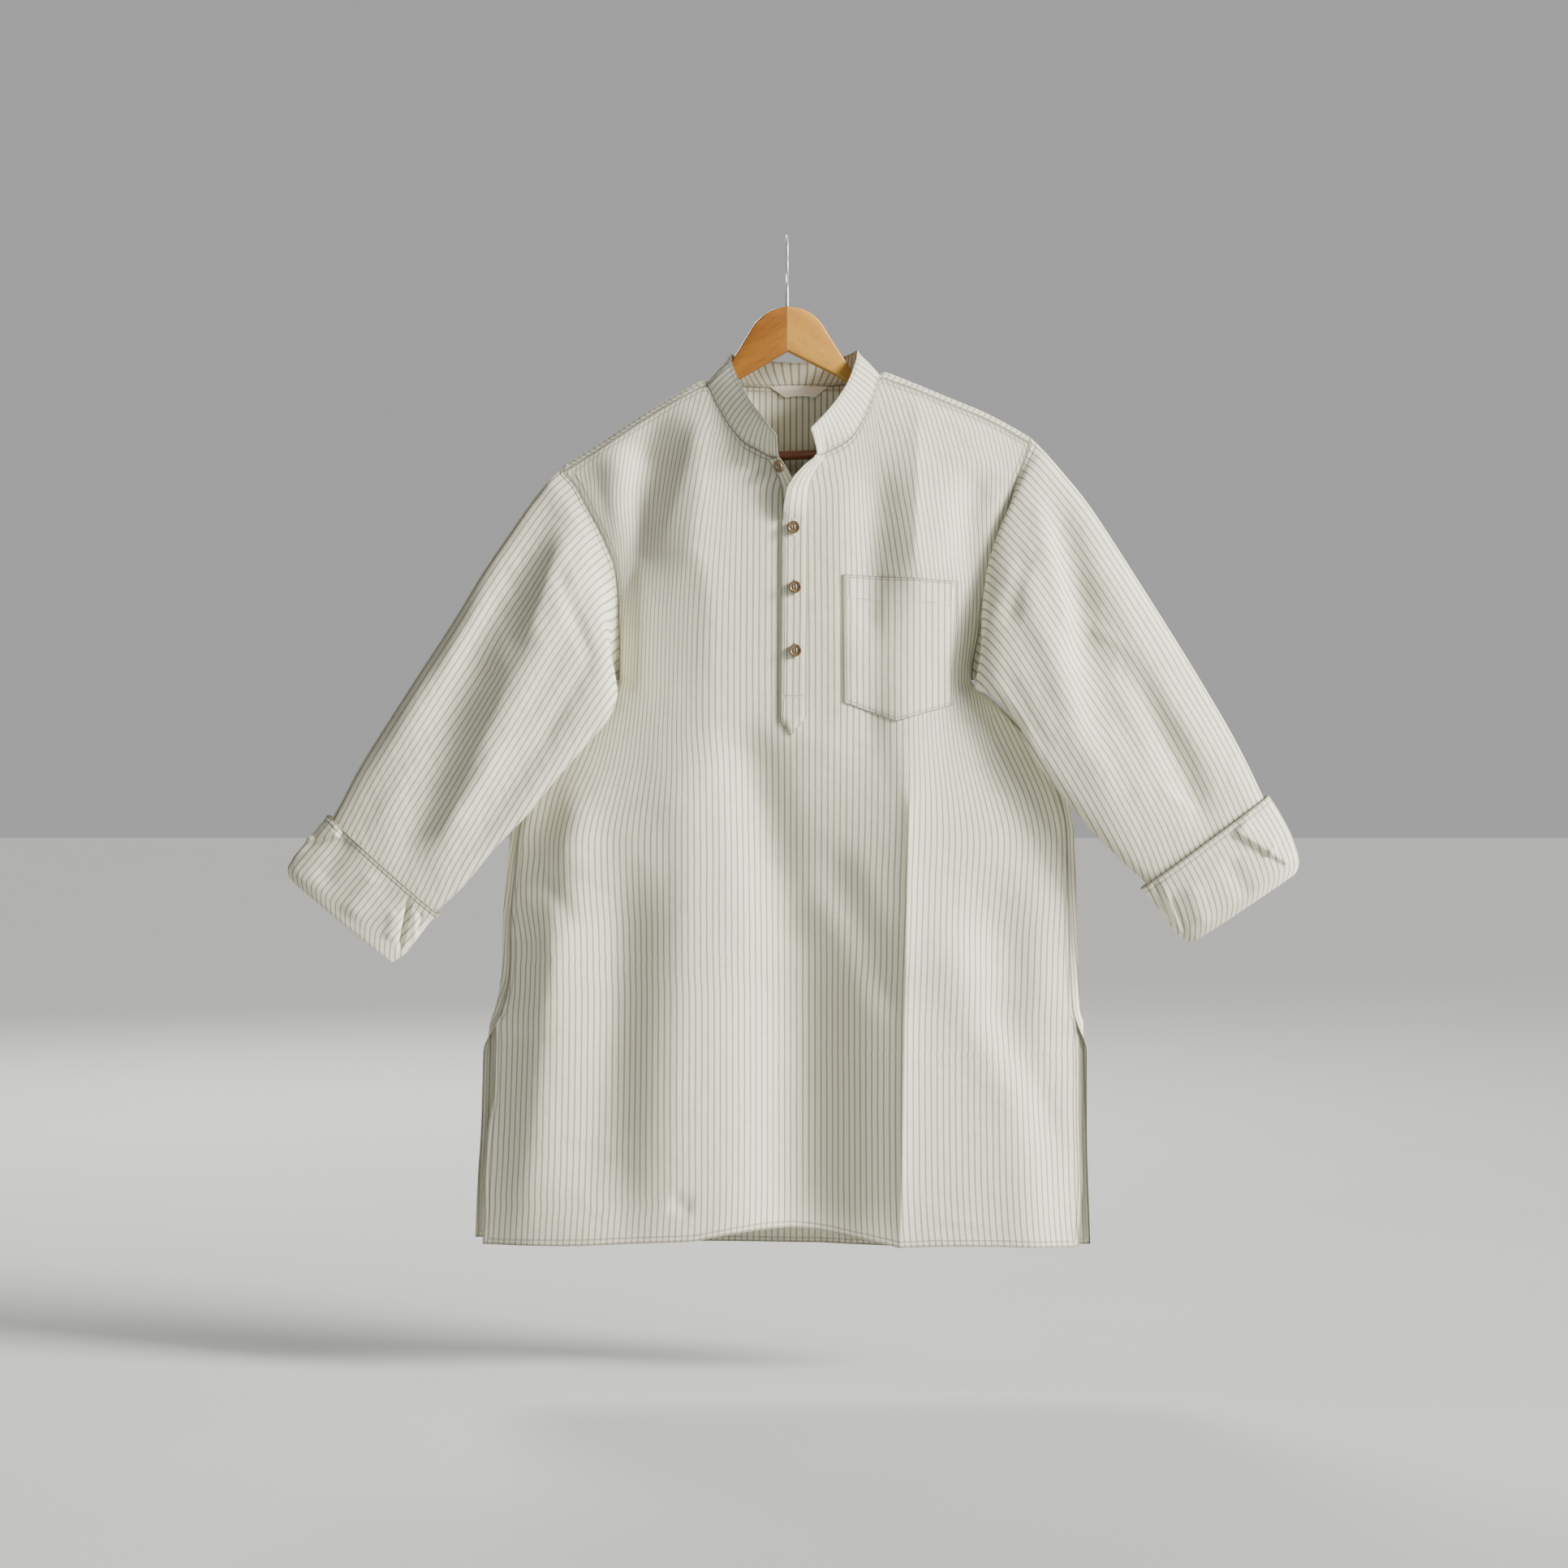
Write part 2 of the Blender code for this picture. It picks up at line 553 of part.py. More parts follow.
class Sheet:
    """A cloth surface: points, quads and a normal at each point."""

    def __init__(self, points, quads):
        self.points = np.array(points, dtype=float)
        self.quads = quads
        self.refresh()

    def refresh(self):
        p = self.points
        q = np.array(self.quads)
        across = p[q[:, 2]] - p[q[:, 0]]
        other = p[q[:, 3]] - p[q[:, 1]]
        face = np.cross(across, other)
        normals = np.zeros_like(p)
        for corner in range(4):
            np.add.at(normals, q[:, corner], face)
        self.normals = unit(normals)

    def boundary(self):
        """Directed edges that only one quad uses."""
        edges = {}
        for quad in self.quads:
            for a, b in zip(quad, quad[1:] + quad[:1]):
                edges[(a, b)] = True
        return [(a, b) for a, b in edges if (b, a) not in edges]

    def pull_in(self, ids, amount):
        """Move edge points back into the cloth, so that the seam stays open by a hair."""
        wanted = set(ids)
        neighbours = {}
        for quad in self.quads:
            for a, b in zip(quad, quad[1:] + quad[:1]):
                if a in wanted and b not in wanted:
                    neighbours.setdefault(a, set()).add(b)
                if b in wanted and a not in wanted:
                    neighbours.setdefault(b, set()).add(a)
        moved = self.points.copy()
        for index in wanted:
            near = neighbours.get(index)
            if near:
                step = unit(self.points[sorted(near)] - self.points[index]).mean(axis=0)
                moved[index] += unit(step) * amount
        self.points = moved

    def mesh(self, name, thickness=WALL):
        half = self.normals * thickness / 2
        count = len(self.points)
        points = np.concatenate([self.points + half, self.points - half]) * MM
        faces = [tuple(quad) for quad in self.quads]
        faces += [tuple(i + count for i in flipped(quad)) for quad in self.quads]
        faces += [(b, a, a + count, b + count) for a, b in self.boundary()]
        data = bpy.data.meshes.new(name)
        data.from_pydata([tuple(p) for p in points], [], triangles(faces))
        data.update()
        return data


def flipped(quad):
    """The same quad seen from its other side, still cut along the same corner."""
    return (quad[0], quad[3], quad[2], quad[1])


def triangles(faces):
    """Each quad cut along the same corner, so that neighbouring layers follow one another."""
    cut = []
    for face in faces:
        if len(face) == 4:
            cut += [(face[0], face[1], face[2]), (face[0], face[2], face[3])]
        else:
            cut.append(face)
    return cut


def share_normals(first, first_ids, second, second_ids):
    """Both sides of a seam take the mean direction, so that their edges stay parallel."""
    for a, b in zip(first_ids, second_ids):
        mean = first.normals[a] + second.normals[b]
        mean = mean / max(np.linalg.norm(mean), 1e-9)
        first.normals[a] = mean
        second.normals[b] = mean


def material(name, colour, roughness, metallic=0.0):
    made = bpy.data.materials.get(name)
    if made is None:
        made = bpy.data.materials.new(name)
        made.use_nodes = True
        shader = made.node_tree.nodes["Principled BSDF"]
        shader.inputs["Base Color"].default_value = (*colour, 1.0)
        shader.inputs["Roughness"].default_value = roughness
        shader.inputs["Metallic"].default_value = metallic
    return made


def place(name, data, look):
    made = bpy.data.objects.new(name, data)
    data.shade_smooth()
    data.set_sharp_from_angle(angle=math.radians(50))
    data.materials.append(look)
    bpy.context.scene.collection.objects.link(made)
    return made


def front_sheet(grid):
    """The front panel, with the points of the two sides joined below the opening."""
    rows, columns = grid.shape[:2]
    points = grid.reshape(-1, 3).copy()
    quads = grid_quads(rows, columns)
    merged = {}
    first_open = len(LOWER_ROWS) + SLIT_ROW
    for r in range(rows):
        left = r * columns + OPENING_COLUMN
        if r <= first_open:
            points[left] = (points[left] + points[left + 1]) / 2
            merged[left + 1] = left
    kept = []
    for quad in quads:
        r, c = divmod(quad[0], columns)
        if c != OPENING_COLUMN:
            kept.append(tuple(merged.get(i, i) for i in quad))
    used = sorted({i for quad in kept for i in quad})
    index = {old: new for new, old in enumerate(used)}
    sheet = Sheet(points[used], [tuple(index[i] for i in quad) for quad in kept])
    sheet.index = index
    return sheet


def clear_scene():
    for item in list(bpy.data.objects):
        bpy.data.objects.remove(item, do_unlink=True)


def sleeve_ring(section, shares, toward_body):
    """One ring of a sleeve: shares run 1 at the underarm line, 0 at the outer line, and back."""
    outer = np.array([section.outer_x, section.outer_z])
    inner = np.array([section.inner_x, section.inner_z])
    run = inner - outer
    side = np.array([-run[1], run[0]]) / np.linalg.norm(run)
    side = side if side[0] * toward_body > 0 else -side
    points = []
    for share, front in shares:
        flat = outer + run * share + side * section.bow * math.sin(math.pi * share)
        middle = mix(section.outer_y, section.inner_y, share)
        swell = math.sqrt(max(4 * share * (1 - share), 0.0)) ** 0.8
        fold = fold_height(flat[0], flat[1], SLEEVE_FOLDS) * swell * (1 if front else -0.6)
        y = middle - section.front * swell - fold if front else middle + section.back * swell - fold
        points.append((flat[0], y, flat[1]))
    return points


def ring_shares(ring, top):
    """Where the points of an armhole ring fall between its underarm (first) and its top."""
    steps = np.linalg.norm(np.diff(np.vstack([ring, ring[:1]]), axis=0), axis=1)
    run = np.concatenate([[0], np.cumsum(steps)])
    half = run[top]
    shares = []
    for index in range(len(ring)):
        if index <= top:
            part = run[index] / half
            shares.append(((1 + math.cos(math.pi * part)) / 2, True))
        else:
            part = (run[index] - half) / (run[-1] - half)
            shares.append(((1 - math.cos(math.pi * part)) / 2, False))
    return shares


def sleeve_sheet(ring, top, sections, toward_body):
    shares = ring_shares(ring, top)
    rings = [list(map(tuple, ring))]
    rings += [sleeve_ring(section, shares, toward_body) for section in sections]
    count = len(ring)
    sheet = Sheet(np.array(rings).reshape(-1, 3), grid_quads(len(rings), count, closed=True))
    face_out(sheet)
    return sheet


def face_out(sheet):
    """Turn the quads of a closed tube so that its normals point away from its middle."""
    middle = sheet.points.mean(axis=0)
    if ((sheet.points - middle) * sheet.normals).sum() < 0:
        sheet.quads = [flipped(quad) for quad in sheet.quads]
        sheet.refresh()


CUFF_SHARES = 22


def cuff_sheet(sections, toward_body):
    """A turned-up cuff: its outer layer, the fold at the wrist and a short return inside."""
    shares = []
    for index in range(CUFF_SHARES):
        part = 2.0 * index / CUFF_SHARES
        front = part <= 1
        shares.append(((1 + math.cos(math.pi * part)) / 2, front))
    rings = [sleeve_ring(section, shares, toward_body) for section in sections]
    sheet = Sheet(np.array(rings).reshape(-1, 3), grid_quads(len(rings), CUFF_SHARES, closed=True))
    face_out(sheet)
    return sheet


def collar_sheet(base):
    steps = np.linalg.norm(np.diff(base, axis=0), axis=1)
    shares = np.concatenate([[0], np.cumsum(steps)]) / steps.sum()
    places = [r.share for r in COLLAR_EDGE]
    edge = [np.interp(shares, places, [getattr(r, name) for r in COLLAR_EDGE]) for name in "xyz"]
    edge = np.array(edge).T
    rows = []
    for share in COLLAR_ROWS:
        row = base + (edge - base) * share
        rows.append(row + bulge_out(row) * COLLAR_BULGE * math.sin(math.pi * share))
    sheet = Sheet(np.array(rows).reshape(-1, 3), grid_quads(len(rows), len(base)))
    outward = (sheet.points - COLLAR_CENTRE) * np.array([1, 1, 0])
    if (outward * sheet.normals).sum() < 0:
        sheet.quads = [flipped(quad) for quad in sheet.quads]
        sheet.refresh()
    return sheet


def bulge_out(row):
    away = (row - COLLAR_CENTRE) * np.array([1, 1, 0])
    return unit(away)


def placket_sheet(front_rows):
    """The upper placket: four columns over the opening, ending in a shallow point."""
    rows = []
    for z in front_rows:
        right = opening("stitch", z)
        left = opening("placket", z)
        rise = math.sqrt(max(PLACKET_WIDTH**2 - (right - left) ** 2, 0.0))
        row = []
        last = 1.15 + 0.45 * rise / PLACKET_WIDTH
        full = 2.0 + 0.8 * rise / PLACKET_WIDTH
        for share, layers in ((0.0, full), (0.41, full), (0.78, full), (1.0, last)):
            x = mix(left, right, share)
            y = front_y(x, z) - rise * (1 - share) - LAYER * layers
            row.append((x, y, z))
        rows.append(row)
    foot = []
    for line, layers in zip(PLACKET_FOOT, (1.3, 1.3, 1.3, 1.15)):
        foot.append((line.x, front_y(line.x, line.z) - LAYER * layers, line.z))
    rows.insert(0, foot)
    return toward_viewer(Sheet(np.array(rows).reshape(-1, 3), grid_quads(len(rows), 4)))


def toward_viewer(sheet):
    if sheet.normals[:, 1].sum() > 0:
        sheet.quads = [flipped(quad) for quad in sheet.quads]
        sheet.refresh()
    return sheet


def under_strip_sheet(front_rows):
    rows = []
    for z in front_rows:
        rows.append([strip_point(share, z) for share in (0.0, 0.5, 1.0)])
    return toward_viewer(Sheet(np.array(rows).reshape(-1, 3), grid_quads(len(rows), 3)))


def strip_point(share, z):
    """A point on the middle surface of the under strip."""
    x = mix(opening("strip", z), opening("under", z), share)
    return np.array([x, front_y(x, z) - share * opening("under_rise", z) - LAYER, z])


def strip_place(share, z):
    """A point on the under strip and the direction the strip faces there."""
    across = strip_point(share + 0.1, z) - strip_point(share - 0.1, z)
    upward = strip_point(share, z + 3) - strip_point(share, z - 5)
    facing = unit(np.cross(across, upward))
    return strip_point(share, z), facing if facing[1] < 0 else -facing


def row_place(row, x):
    """A point on a row of the front panel at a place across it."""
    return np.array([np.interp(x, row[:, 0], row[:, axis]) for axis in range(3)])


def pocket_sheet(grid):
    """The chest pocket, on the front panel's own columns, moved out by one layer."""
    top_left, top_right = POCKET_TOP
    columns = []
    for index in range(OPENING_COLUMN + 1, grid.shape[1]):
        x = np.interp(-420.0, grid[:, index, 2], grid[:, index, 0])
        if top_left.x + 4 < x < top_right.x - 6:
            columns.append(index)
    lower = len(LOWER_ROWS)
    rows = [pocket_row(grid, columns, POCKET_FOOT, None)]
    for index in range(SLIT_ROW, UPPER_ROWS.index(0.52) + 1):
        rows.append(pocket_row(grid, columns, None, lower + index))
    rows.append(pocket_row(grid, columns, POCKET_TOP, None))
    middle = []
    for low, high in zip(rows[-2], rows[-1]):
        middle.append(pocket_point(grid, (low[0] + high[0]) / 2, (low[2] + high[2]) / 2))
    rows.insert(len(rows) - 1, middle)
    return toward_viewer(Sheet(np.array(rows).reshape(-1, 3), grid_quads(len(rows), len(columns) + 2)))


def pocket_row(grid, columns, line, grid_row):
    """One row of the pocket: along its foot or top line, or along a row of the panel."""
    level_z = -400.0 if line is None else line[0].z
    row = []
    for index in [None] + columns + [-1]:
        if index in (None, -1):
            corner = 0 if index is None else -1
            ends = [POCKET_FOOT[corner].x, POCKET_TOP[corner].x]
            x = np.interp(level_z, [POCKET_FOOT[0].z, POCKET_TOP[0].z], ends)
        elif grid_row is None:
            x = np.interp(level_z, grid[:, index, 2], grid[:, index, 0])
        else:
            x = grid[grid_row, index, 0]
        z = along(line, x) if line else row_place(grid[grid_row, OPENING_COLUMN + 1:], x)[2]
        row.append(pocket_point(grid, x, z))
    return row


def pocket_point(grid, x, z):
    """A point of the pocket, lifted a little more at its lower corner near the side."""
    lift = POCKET_CORNER_LIFT * ease(140, 165, x) * (1 - ease(-470, -430, z))
    return (x, panel_y(grid, x, z) - LAYER * POCKET_LAYERS - lift, z)


def panel_y(grid, x, z):
    """Depth of the panel's own grid at a place, between its rows and columns."""
    ys = []
    zs = []
    for row in grid[:, OPENING_COLUMN + 1:]:
        point = row_place(row, x)
        ys.append(point[1])
        zs.append(point[2])
    return np.interp(z, zs, ys)


def label_sheet(back):
    """The bare label inside the back neck, one layer in front of the back panel."""
    rows = []
    middle = back[:-1, BACK_SIDE_COLUMNS:]
    for share in (0.0, 1.0):
        z = mix(LABEL[0].z, LABEL[3].z, share)
        left = mix(LABEL[0].x, LABEL[3].x, share)
        right = mix(LABEL[1].x, LABEL[2].x, share)
        row = []
        for x in np.linspace(left, right, 5):
            places = [row_place(r, x) for r in middle]
            y = np.interp(z, [p[2] for p in places], [p[1] for p in places])
            row.append((x, y - LAYER - LABEL_EASE, z))
        rows.append(row)
    return toward_viewer(Sheet(np.array(rows).reshape(-1, 3), grid_quads(2, 5)))


def button(name, centre, normal):
    """A four-hole button with a raised rim, facing along normal."""
    radius = BUTTON_DIAMETER / 2
    high = BUTTON_THICKNESS
    profile = [(0, 0), (radius - 0.5, 0), (radius, 0.5), (radius, high - 0.5), (radius - 0.5, high),
               (radius - 1.5, high), (radius - 2.3, high - 0.7), (0, high - 0.7)]
    build = bmesh.new()
    rings = []
    sides = 20
    for r, h in profile:
        if r == 0:
            rings.append([build.verts.new((0, 0, h * MM))])
            continue
        ring = []
        for step in range(sides):
            angle = 2 * math.pi * step / sides
            ring.append(build.verts.new((r * math.cos(angle) * MM, r * math.sin(angle) * MM, h * MM)))
        rings.append(ring)
    for below, above in zip(rings, rings[1:]):
        for step in range(sides):
            after = (step + 1) % sides
            if len(below) == 1:
                build.faces.new((below[0], above[after], above[step]))
            elif len(above) == 1:
                build.faces.new((below[step], below[after], above[0]))
            else:
                build.faces.new((below[step], below[after], above[after], above[step]))
    data = bpy.data.meshes.new(name)
    build.to_mesh(data)
    build.free()
    made = place(name, data, material("horn", HORN, 0.45))
    made.location = np.array(centre) * MM
    made.rotation_euler = direction_angles(normal)
    for index, (x, y) in enumerate(((1, 1), (1, -1), (-1, 1), (-1, -1))):
        cutter = hole_cutter(f"{name}_hole_{index}", x * HOLE_PITCH / 2, y * HOLE_PITCH / 2)
        cutter.parent = made
        cut = made.modifiers.new(f"hole_{index}", "BOOLEAN")
        cut.operation = "DIFFERENCE"
        cut.solver = "EXACT"
        cut.object = cutter
    return made


def direction_angles(normal):
    return Vector(normal).to_track_quat("Z", "Y").to_euler()


def hole_cutter(name, x, y):
    build = bmesh.new()
    bmesh.ops.create_cone(build, cap_ends=True, segments=8, radius1=HOLE_DIAMETER / 2 * MM,
                          radius2=HOLE_DIAMETER / 2 * MM, depth=8 * MM)
    data = bpy.data.meshes.new(name)
    build.to_mesh(data)
    build.free()
    made = bpy.data.objects.new(name, data)
    made.location = (x * MM, y * MM, BUTTON_THICKNESS / 2 * MM)
    made.hide_render = True
    made.display_type = "WIRE"
    bpy.context.scene.collection.objects.link(made)
    return made


def tube(name, path, radii, look, sides=10):
    """A round bar along a path in the Y-Z or X-Z plane, closed at both ends."""
    points = np.array(path, dtype=float)
    tangents = unit(np.gradient(points, axis=0))
    spread_x = np.ptp(points[:, 0])
    flat = np.array([1.0, 0, 0]) if spread_x < 1 else np.array([0, 1.0, 0])
    build = bmesh.new()
    rings = []
    for point, tangent, radius in zip(points, tangents, radii):
        other = unit(np.cross(tangent, flat))
        ring = []
        for step in range(sides):
            angle = 2 * math.pi * step / sides
            at = point + (flat * math.cos(angle) + other * math.sin(angle)) * radius
            ring.append(build.verts.new(tuple(at * MM)))
        rings.append(ring)
    for first, second in zip(rings, rings[1:]):
        for step in range(sides):
            after = (step + 1) % sides
            build.faces.new((first[step], first[after], second[after], second[step]))
    build.faces.new(rings[0][::-1])
    build.faces.new(rings[-1])
    bmesh.ops.recalc_face_normals(build, faces=build.faces)
    data = bpy.data.meshes.new(name)
    build.to_mesh(data)
    build.free()
    return place(name, data, look)


def hook_path():
    """Stem, neck bend and open loop, in the Y-Z plane."""
    radius = HOOK_INNER_RADIUS + HOOK_WIRE / 2
    centre = -HOOK_INNER_RADIUS
    foot = arm_y(0)
    path = [(0, foot, WOOD_TOP_Z + SEAM_GAP), (0, foot, -62), (0, foot, STEM_TOP_Z)]
    path += [(0, foot + 1.4, -50.5), (0, foot + 6, -46.2), (0, foot + 12.4, -42.3)]
    for step in range(25):
        angle = math.radians(-62 + step * 262 / 24)
        path.append((0, radius * math.cos(angle), centre + radius * math.sin(angle)))
    return path


def arm_stations(side):
    """Stations along one arm, from the middle to the tip: place, top and underside."""
    tip = LEFT_TIP_X + 11 if side < 0 else RIGHT_TIP_X - 12
    tilt = HANGER_TILT * side
    heel = bar_end(side)
    stations = []
    for point in HUMP:
        x = side * max(point.x, SEAM_GAP / 2)
        stations.append((x, point.z + tilt * point.x * 0.9, along(ARM_UNDER, point.x) + tilt * point.x))
    outer = [LEFT_NECK_X, -110, -138, -160, heel + HEEL_STEP, heel - HEEL_STEP, -205, tip]
    if side > 0:
        outer = [RIGHT_NECK_X, 110, 138, 164, heel - HEEL_STEP, heel + HEEL_STEP, 224, tip]
    for x in outer:
        top = along(RIDGE, x) - ARM_DROP - NECK_DIP * (1 - ease(112, 134, abs(x)))
        under = max(top - ARM_DEPTH, bar_height(x) + BAR_DIAMETER / 2 + 1.5)
        if abs(x) > abs(heel):
            under = min(bar_height(x) - 9, top - ARM_DEPTH)
        stations.append((x, top, under))
    return stations


def bar_end(side):
    return LEFT_TIP_X + 44 if side < 0 else RIGHT_TIP_X - 44


def bar_height(x):
    return BAR_DROP_Z + HANGER_TILT * x


def hanger_arm(name, side, look):
    """One half of the wooden hanger: an eased board swept from the middle joint to the tip."""
    build = bmesh.new()
    rings = []
    half = ARM_THICKNESS / 2
    flat = half - ARM_EASE
    for x, top, under in arm_stations(side):
        high = top - ARM_EASE
        low = under + ARM_EASE
        corners = [(-half, low), (-half, high), (-flat, top), (flat, top),
                   (half, high), (half, low), (flat, under), (-flat, under)]
        rings.append([build.verts.new((x * MM, (arm_y(x) + y) * MM, z * MM)) for y, z in corners])
    for first, second in zip(rings, rings[1:]):
        for step in range(8):
            after = (step + 1) % 8
            build.faces.new((first[step], first[after], second[after], second[step]))
    build.faces.new(rings[0])
    build.faces.new(rings[-1])
    bmesh.ops.recalc_face_normals(build, faces=build.faces)
    data = bpy.data.meshes.new(name)
    build.to_mesh(data)
    build.free()
    return place(name, data, look)


def build_hanger():
    hanger_arm("hanger_left_arm", -1, material("pale_wood", PALE_WOOD, 0.5))
    hanger_arm("hanger_right_arm", 1, material("pale_wood", PALE_WOOD, 0.5))
    inset = HEEL_STEP + SEAM_GAP
    ends = [bar_end(-1) + inset, bar_end(1) - inset]
    y = arm_y(ends[0]) * 0.85
    path = [(x, y, bar_height(x)) for x in ends]
    tube("trouser_bar", path, [BAR_DIAMETER / 2] * 2, material("red_wood", RED_WOOD, 0.4), sides=16)
    path = hook_path()
    radii = [1.6, 1.6] + [HOOK_WIRE / 2] * (len(path) - 2)
    tube("hanger_hook", path, radii, material("steel", STEEL, 0.3, 1.0))


def back_sheet(grid):
    sheet = Sheet(grid.reshape(-1, 3), grid_quads(*grid.shape[:2]))
    if sheet.normals[:, 1].sum() < 0:
        sheet.quads = [flipped(quad) for quad in sheet.quads]
        sheet.refresh()
    return sheet


class Body:
    """Front and back panels with the grid numbers of their seam points."""

    def __init__(self):
        self.front_grid = front_grid()
        self.back_grid = back_grid()
        self.front = toward_viewer(front_sheet(self.front_grid))
        self.back = back_sheet(self.back_grid)
        self.rows, self.columns = self.front_grid.shape[:2]
        self.back_rows, self.back_columns = self.back_grid.shape[:2]
        self.underarm = len(LOWER_ROWS) + UNDERARM_ROW
        self.slit = LOWER_ROWS.index(SLIT_TOP_Z)

    def front_id(self, r, c):
        return self.front.index[r * self.columns + c]

    def back_id(self, r, c):
        return r * self.back_columns + c

    def armhole(self, left):
        """Points from the underarm up the front, then down the back."""
        front_column = 0 if left else self.columns - 1
        back_column = 0 if left else self.back_columns - 1
        front_ids = [self.front_id(r, front_column) for r in range(self.underarm, self.rows)]
        back_ids = [self.back_id(r, back_column) for r in range(self.back_rows - 2, self.underarm, -1)]
        return front_ids, back_ids

    def neck(self):
        """Neck seam points: left front from the opening, back from left to right, right front."""
        top = self.front_grid[-1, :, 0]
        left_end = int(np.argmin(abs(top[:OPENING_COLUMN] - LEFT_NECK_X)))
        right_start = OPENING_COLUMN + 1
        right_end = right_start + int(np.argmin(abs(top[right_start:] - RIGHT_NECK_X)))
        back_top = self.back_grid[-1, :, 0]
        inner = [c for c in range(self.back_columns) if LEFT_NECK_X < back_top[c] < RIGHT_NECK_X]
        last = self.rows - 1
        left_ids = [self.front_id(last, c) for c in range(OPENING_COLUMN, left_end - 1, -1)]
        back_ids = [self.back_id(self.back_rows - 1, c) for c in inner]
        right_ids = [self.front_id(last, c) for c in range(right_end, OPENING_COLUMN, -1)]
        return left_ids, back_ids, right_ids

    def join_sides(self):
        """Side seams share one direction from the slits to the underarms."""
        front_seam = []
        back_seam = []
        for r in range(self.slit, self.underarm + 1):
            front_seam += [self.front_id(r, 0), self.front_id(r, self.columns - 1)]
            back_seam += [self.back_id(r, 0), self.back_id(r, self.back_columns - 1)]
        share_normals(self.front, front_seam, self.back, back_seam)

    def open_seams(self, gap):
        """Pull every sewn edge back by a hair, so that neighbouring pieces stay apart."""
        front_rows = range(self.slit, self.rows)
        back_rows = range(self.slit, self.back_rows)
        self.front.pull_in([self.front_id(r, c) for r in front_rows for c in (0, self.columns - 1)], gap)
        self.front.pull_in([self.front_id(self.rows - 1, c) for c in range(self.columns)], gap + 0.05)
        self.back.pull_in([self.back_id(r, c) for r in back_rows for c in (0, self.back_columns - 1)], gap)
        self.back.pull_in([self.back_id(self.back_rows - 1, c) for c in range(self.back_columns)], gap + 0.05)


def sewn_sleeve(body, left):
    """A sleeve whose first ring is the armhole of both panels."""
    front_ids, back_ids = body.armhole(left)
    ring = np.vstack([body.front.points[front_ids], body.back.points[back_ids]])
    sections = LEFT_SLEEVE if left else RIGHT_SLEEVE
    sheet = sleeve_sheet(ring, len(front_ids) + 1, sections, 1 if left else -1)
    share_normals(body.front, front_ids, sheet, range(len(front_ids)))
    share_normals(body.back, back_ids, sheet, range(len(front_ids), len(ring)))
    sheet.ring = len(ring)
    return sheet


def sewn_collar(body):
    left_ids, back_ids, right_ids = body.neck()
    front = body.front
    base = np.vstack([front.points[left_ids], body.back.points[back_ids], front.points[right_ids]])
    collar = collar_sheet(base)
    middle = len(left_ids) + len(back_ids)
    share_normals(front, left_ids, collar, range(len(left_ids)))
    share_normals(body.back, back_ids, collar, range(len(left_ids), middle))
    share_normals(front, right_ids, collar, range(middle, len(base)))
    collar.ring = len(base)
    return collar


def build_cloth(look):
    """The two panels, sleeves and collar, sewn along shared points and then parted by a hair."""
    body = Body()
    sleeves = [sewn_sleeve(body, True), sewn_sleeve(body, False)]
    collar = sewn_collar(body)
    body.join_sides()
    gap = SEAM_GAP / 2 + 0.1
    body.open_seams(gap)
    collar.pull_in(range(collar.ring), gap + 0.05)
    for sheet, outward in zip(sleeves, (-1.0, 1.0)):
        sheet.pull_in(range(sheet.ring), gap)
        sheet.points[0, 0] += outward * UNDERARM_EASE * 2
        sheet.points[[1, sheet.ring - 1], 0] += outward * UNDERARM_EASE
    place("front_panel", body.front.mesh("front_panel"), look)
    place("back_panel", body.back.mesh("back_panel"), look)
    place("collar_band", collar.mesh("collar_band"), look)
    place("left_sleeve", sleeves[0].mesh("left_sleeve"), look)
    place("right_sleeve", sleeves[1].mesh("right_sleeve"), look)
    place("left_cuff", cuff_sheet(LEFT_CUFF, 1).mesh("left_cuff"), look)
    place("right_cuff", cuff_sheet(RIGHT_CUFF, -1).mesh("right_cuff"), look)
    return body


def build_trim(body, look):
    """Placket, under strip, pocket and label, each one layer out from the panel behind it."""
    first = len(LOWER_ROWS) + SLIT_ROW
    levels = [float(z) for z in body.front_grid[first:, OPENING_COLUMN + 1, 2]]
    levels[-1] -= 1.6
    place("upper_placket", placket_sheet(levels).mesh("upper_placket"), look)
    levels = [float(z) for z in body.front_grid[first:, OPENING_COLUMN, 2]]
    levels[0] += 4.0
    levels[-1] -= 3.0
    place("under_strip", under_strip_sheet(levels).mesh("under_strip"), look)
    place("chest_pocket", pocket_sheet(body.front_grid).mesh("chest_pocket"), look)
    satin = material("satin", SATIN, 0.5)
    place("neck_label", label_sheet(body.back_grid).mesh("neck_label", LABEL_THICKNESS), satin)


def build_buttons():
    """Three buttons on the closed placket and one on the under strip."""
    for index, spot in enumerate(BUTTONS):
        y = front_y(spot.x, spot.z) - LAYER * 2 - WALL / 2 - BUTTON_REST
        button(f"button_{index + 2}", (spot.x, y, spot.z), (0, -1, 0))
    spot, facing = strip_place(TOP_BUTTON_SHARE, TOP_BUTTON_Z)
    button("button_1", spot + facing * (WALL / 2 + BUTTON_REST + 0.1), facing)


def build_garment():
    cotton = material("striped_cotton", COTTON, 0.9)
    body = build_cloth(cotton)
    build_trim(body, cotton)
    build_buttons()


clear_scene()
build_garment()
build_hanger()
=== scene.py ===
"""Dresses the kurta tunic on its wooden hanger: thin striped cotton shells on the forms of the
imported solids, with topstitching, buttons and buttonholes, and wood and wire for the hanger."""

import math
from collections import namedtuple

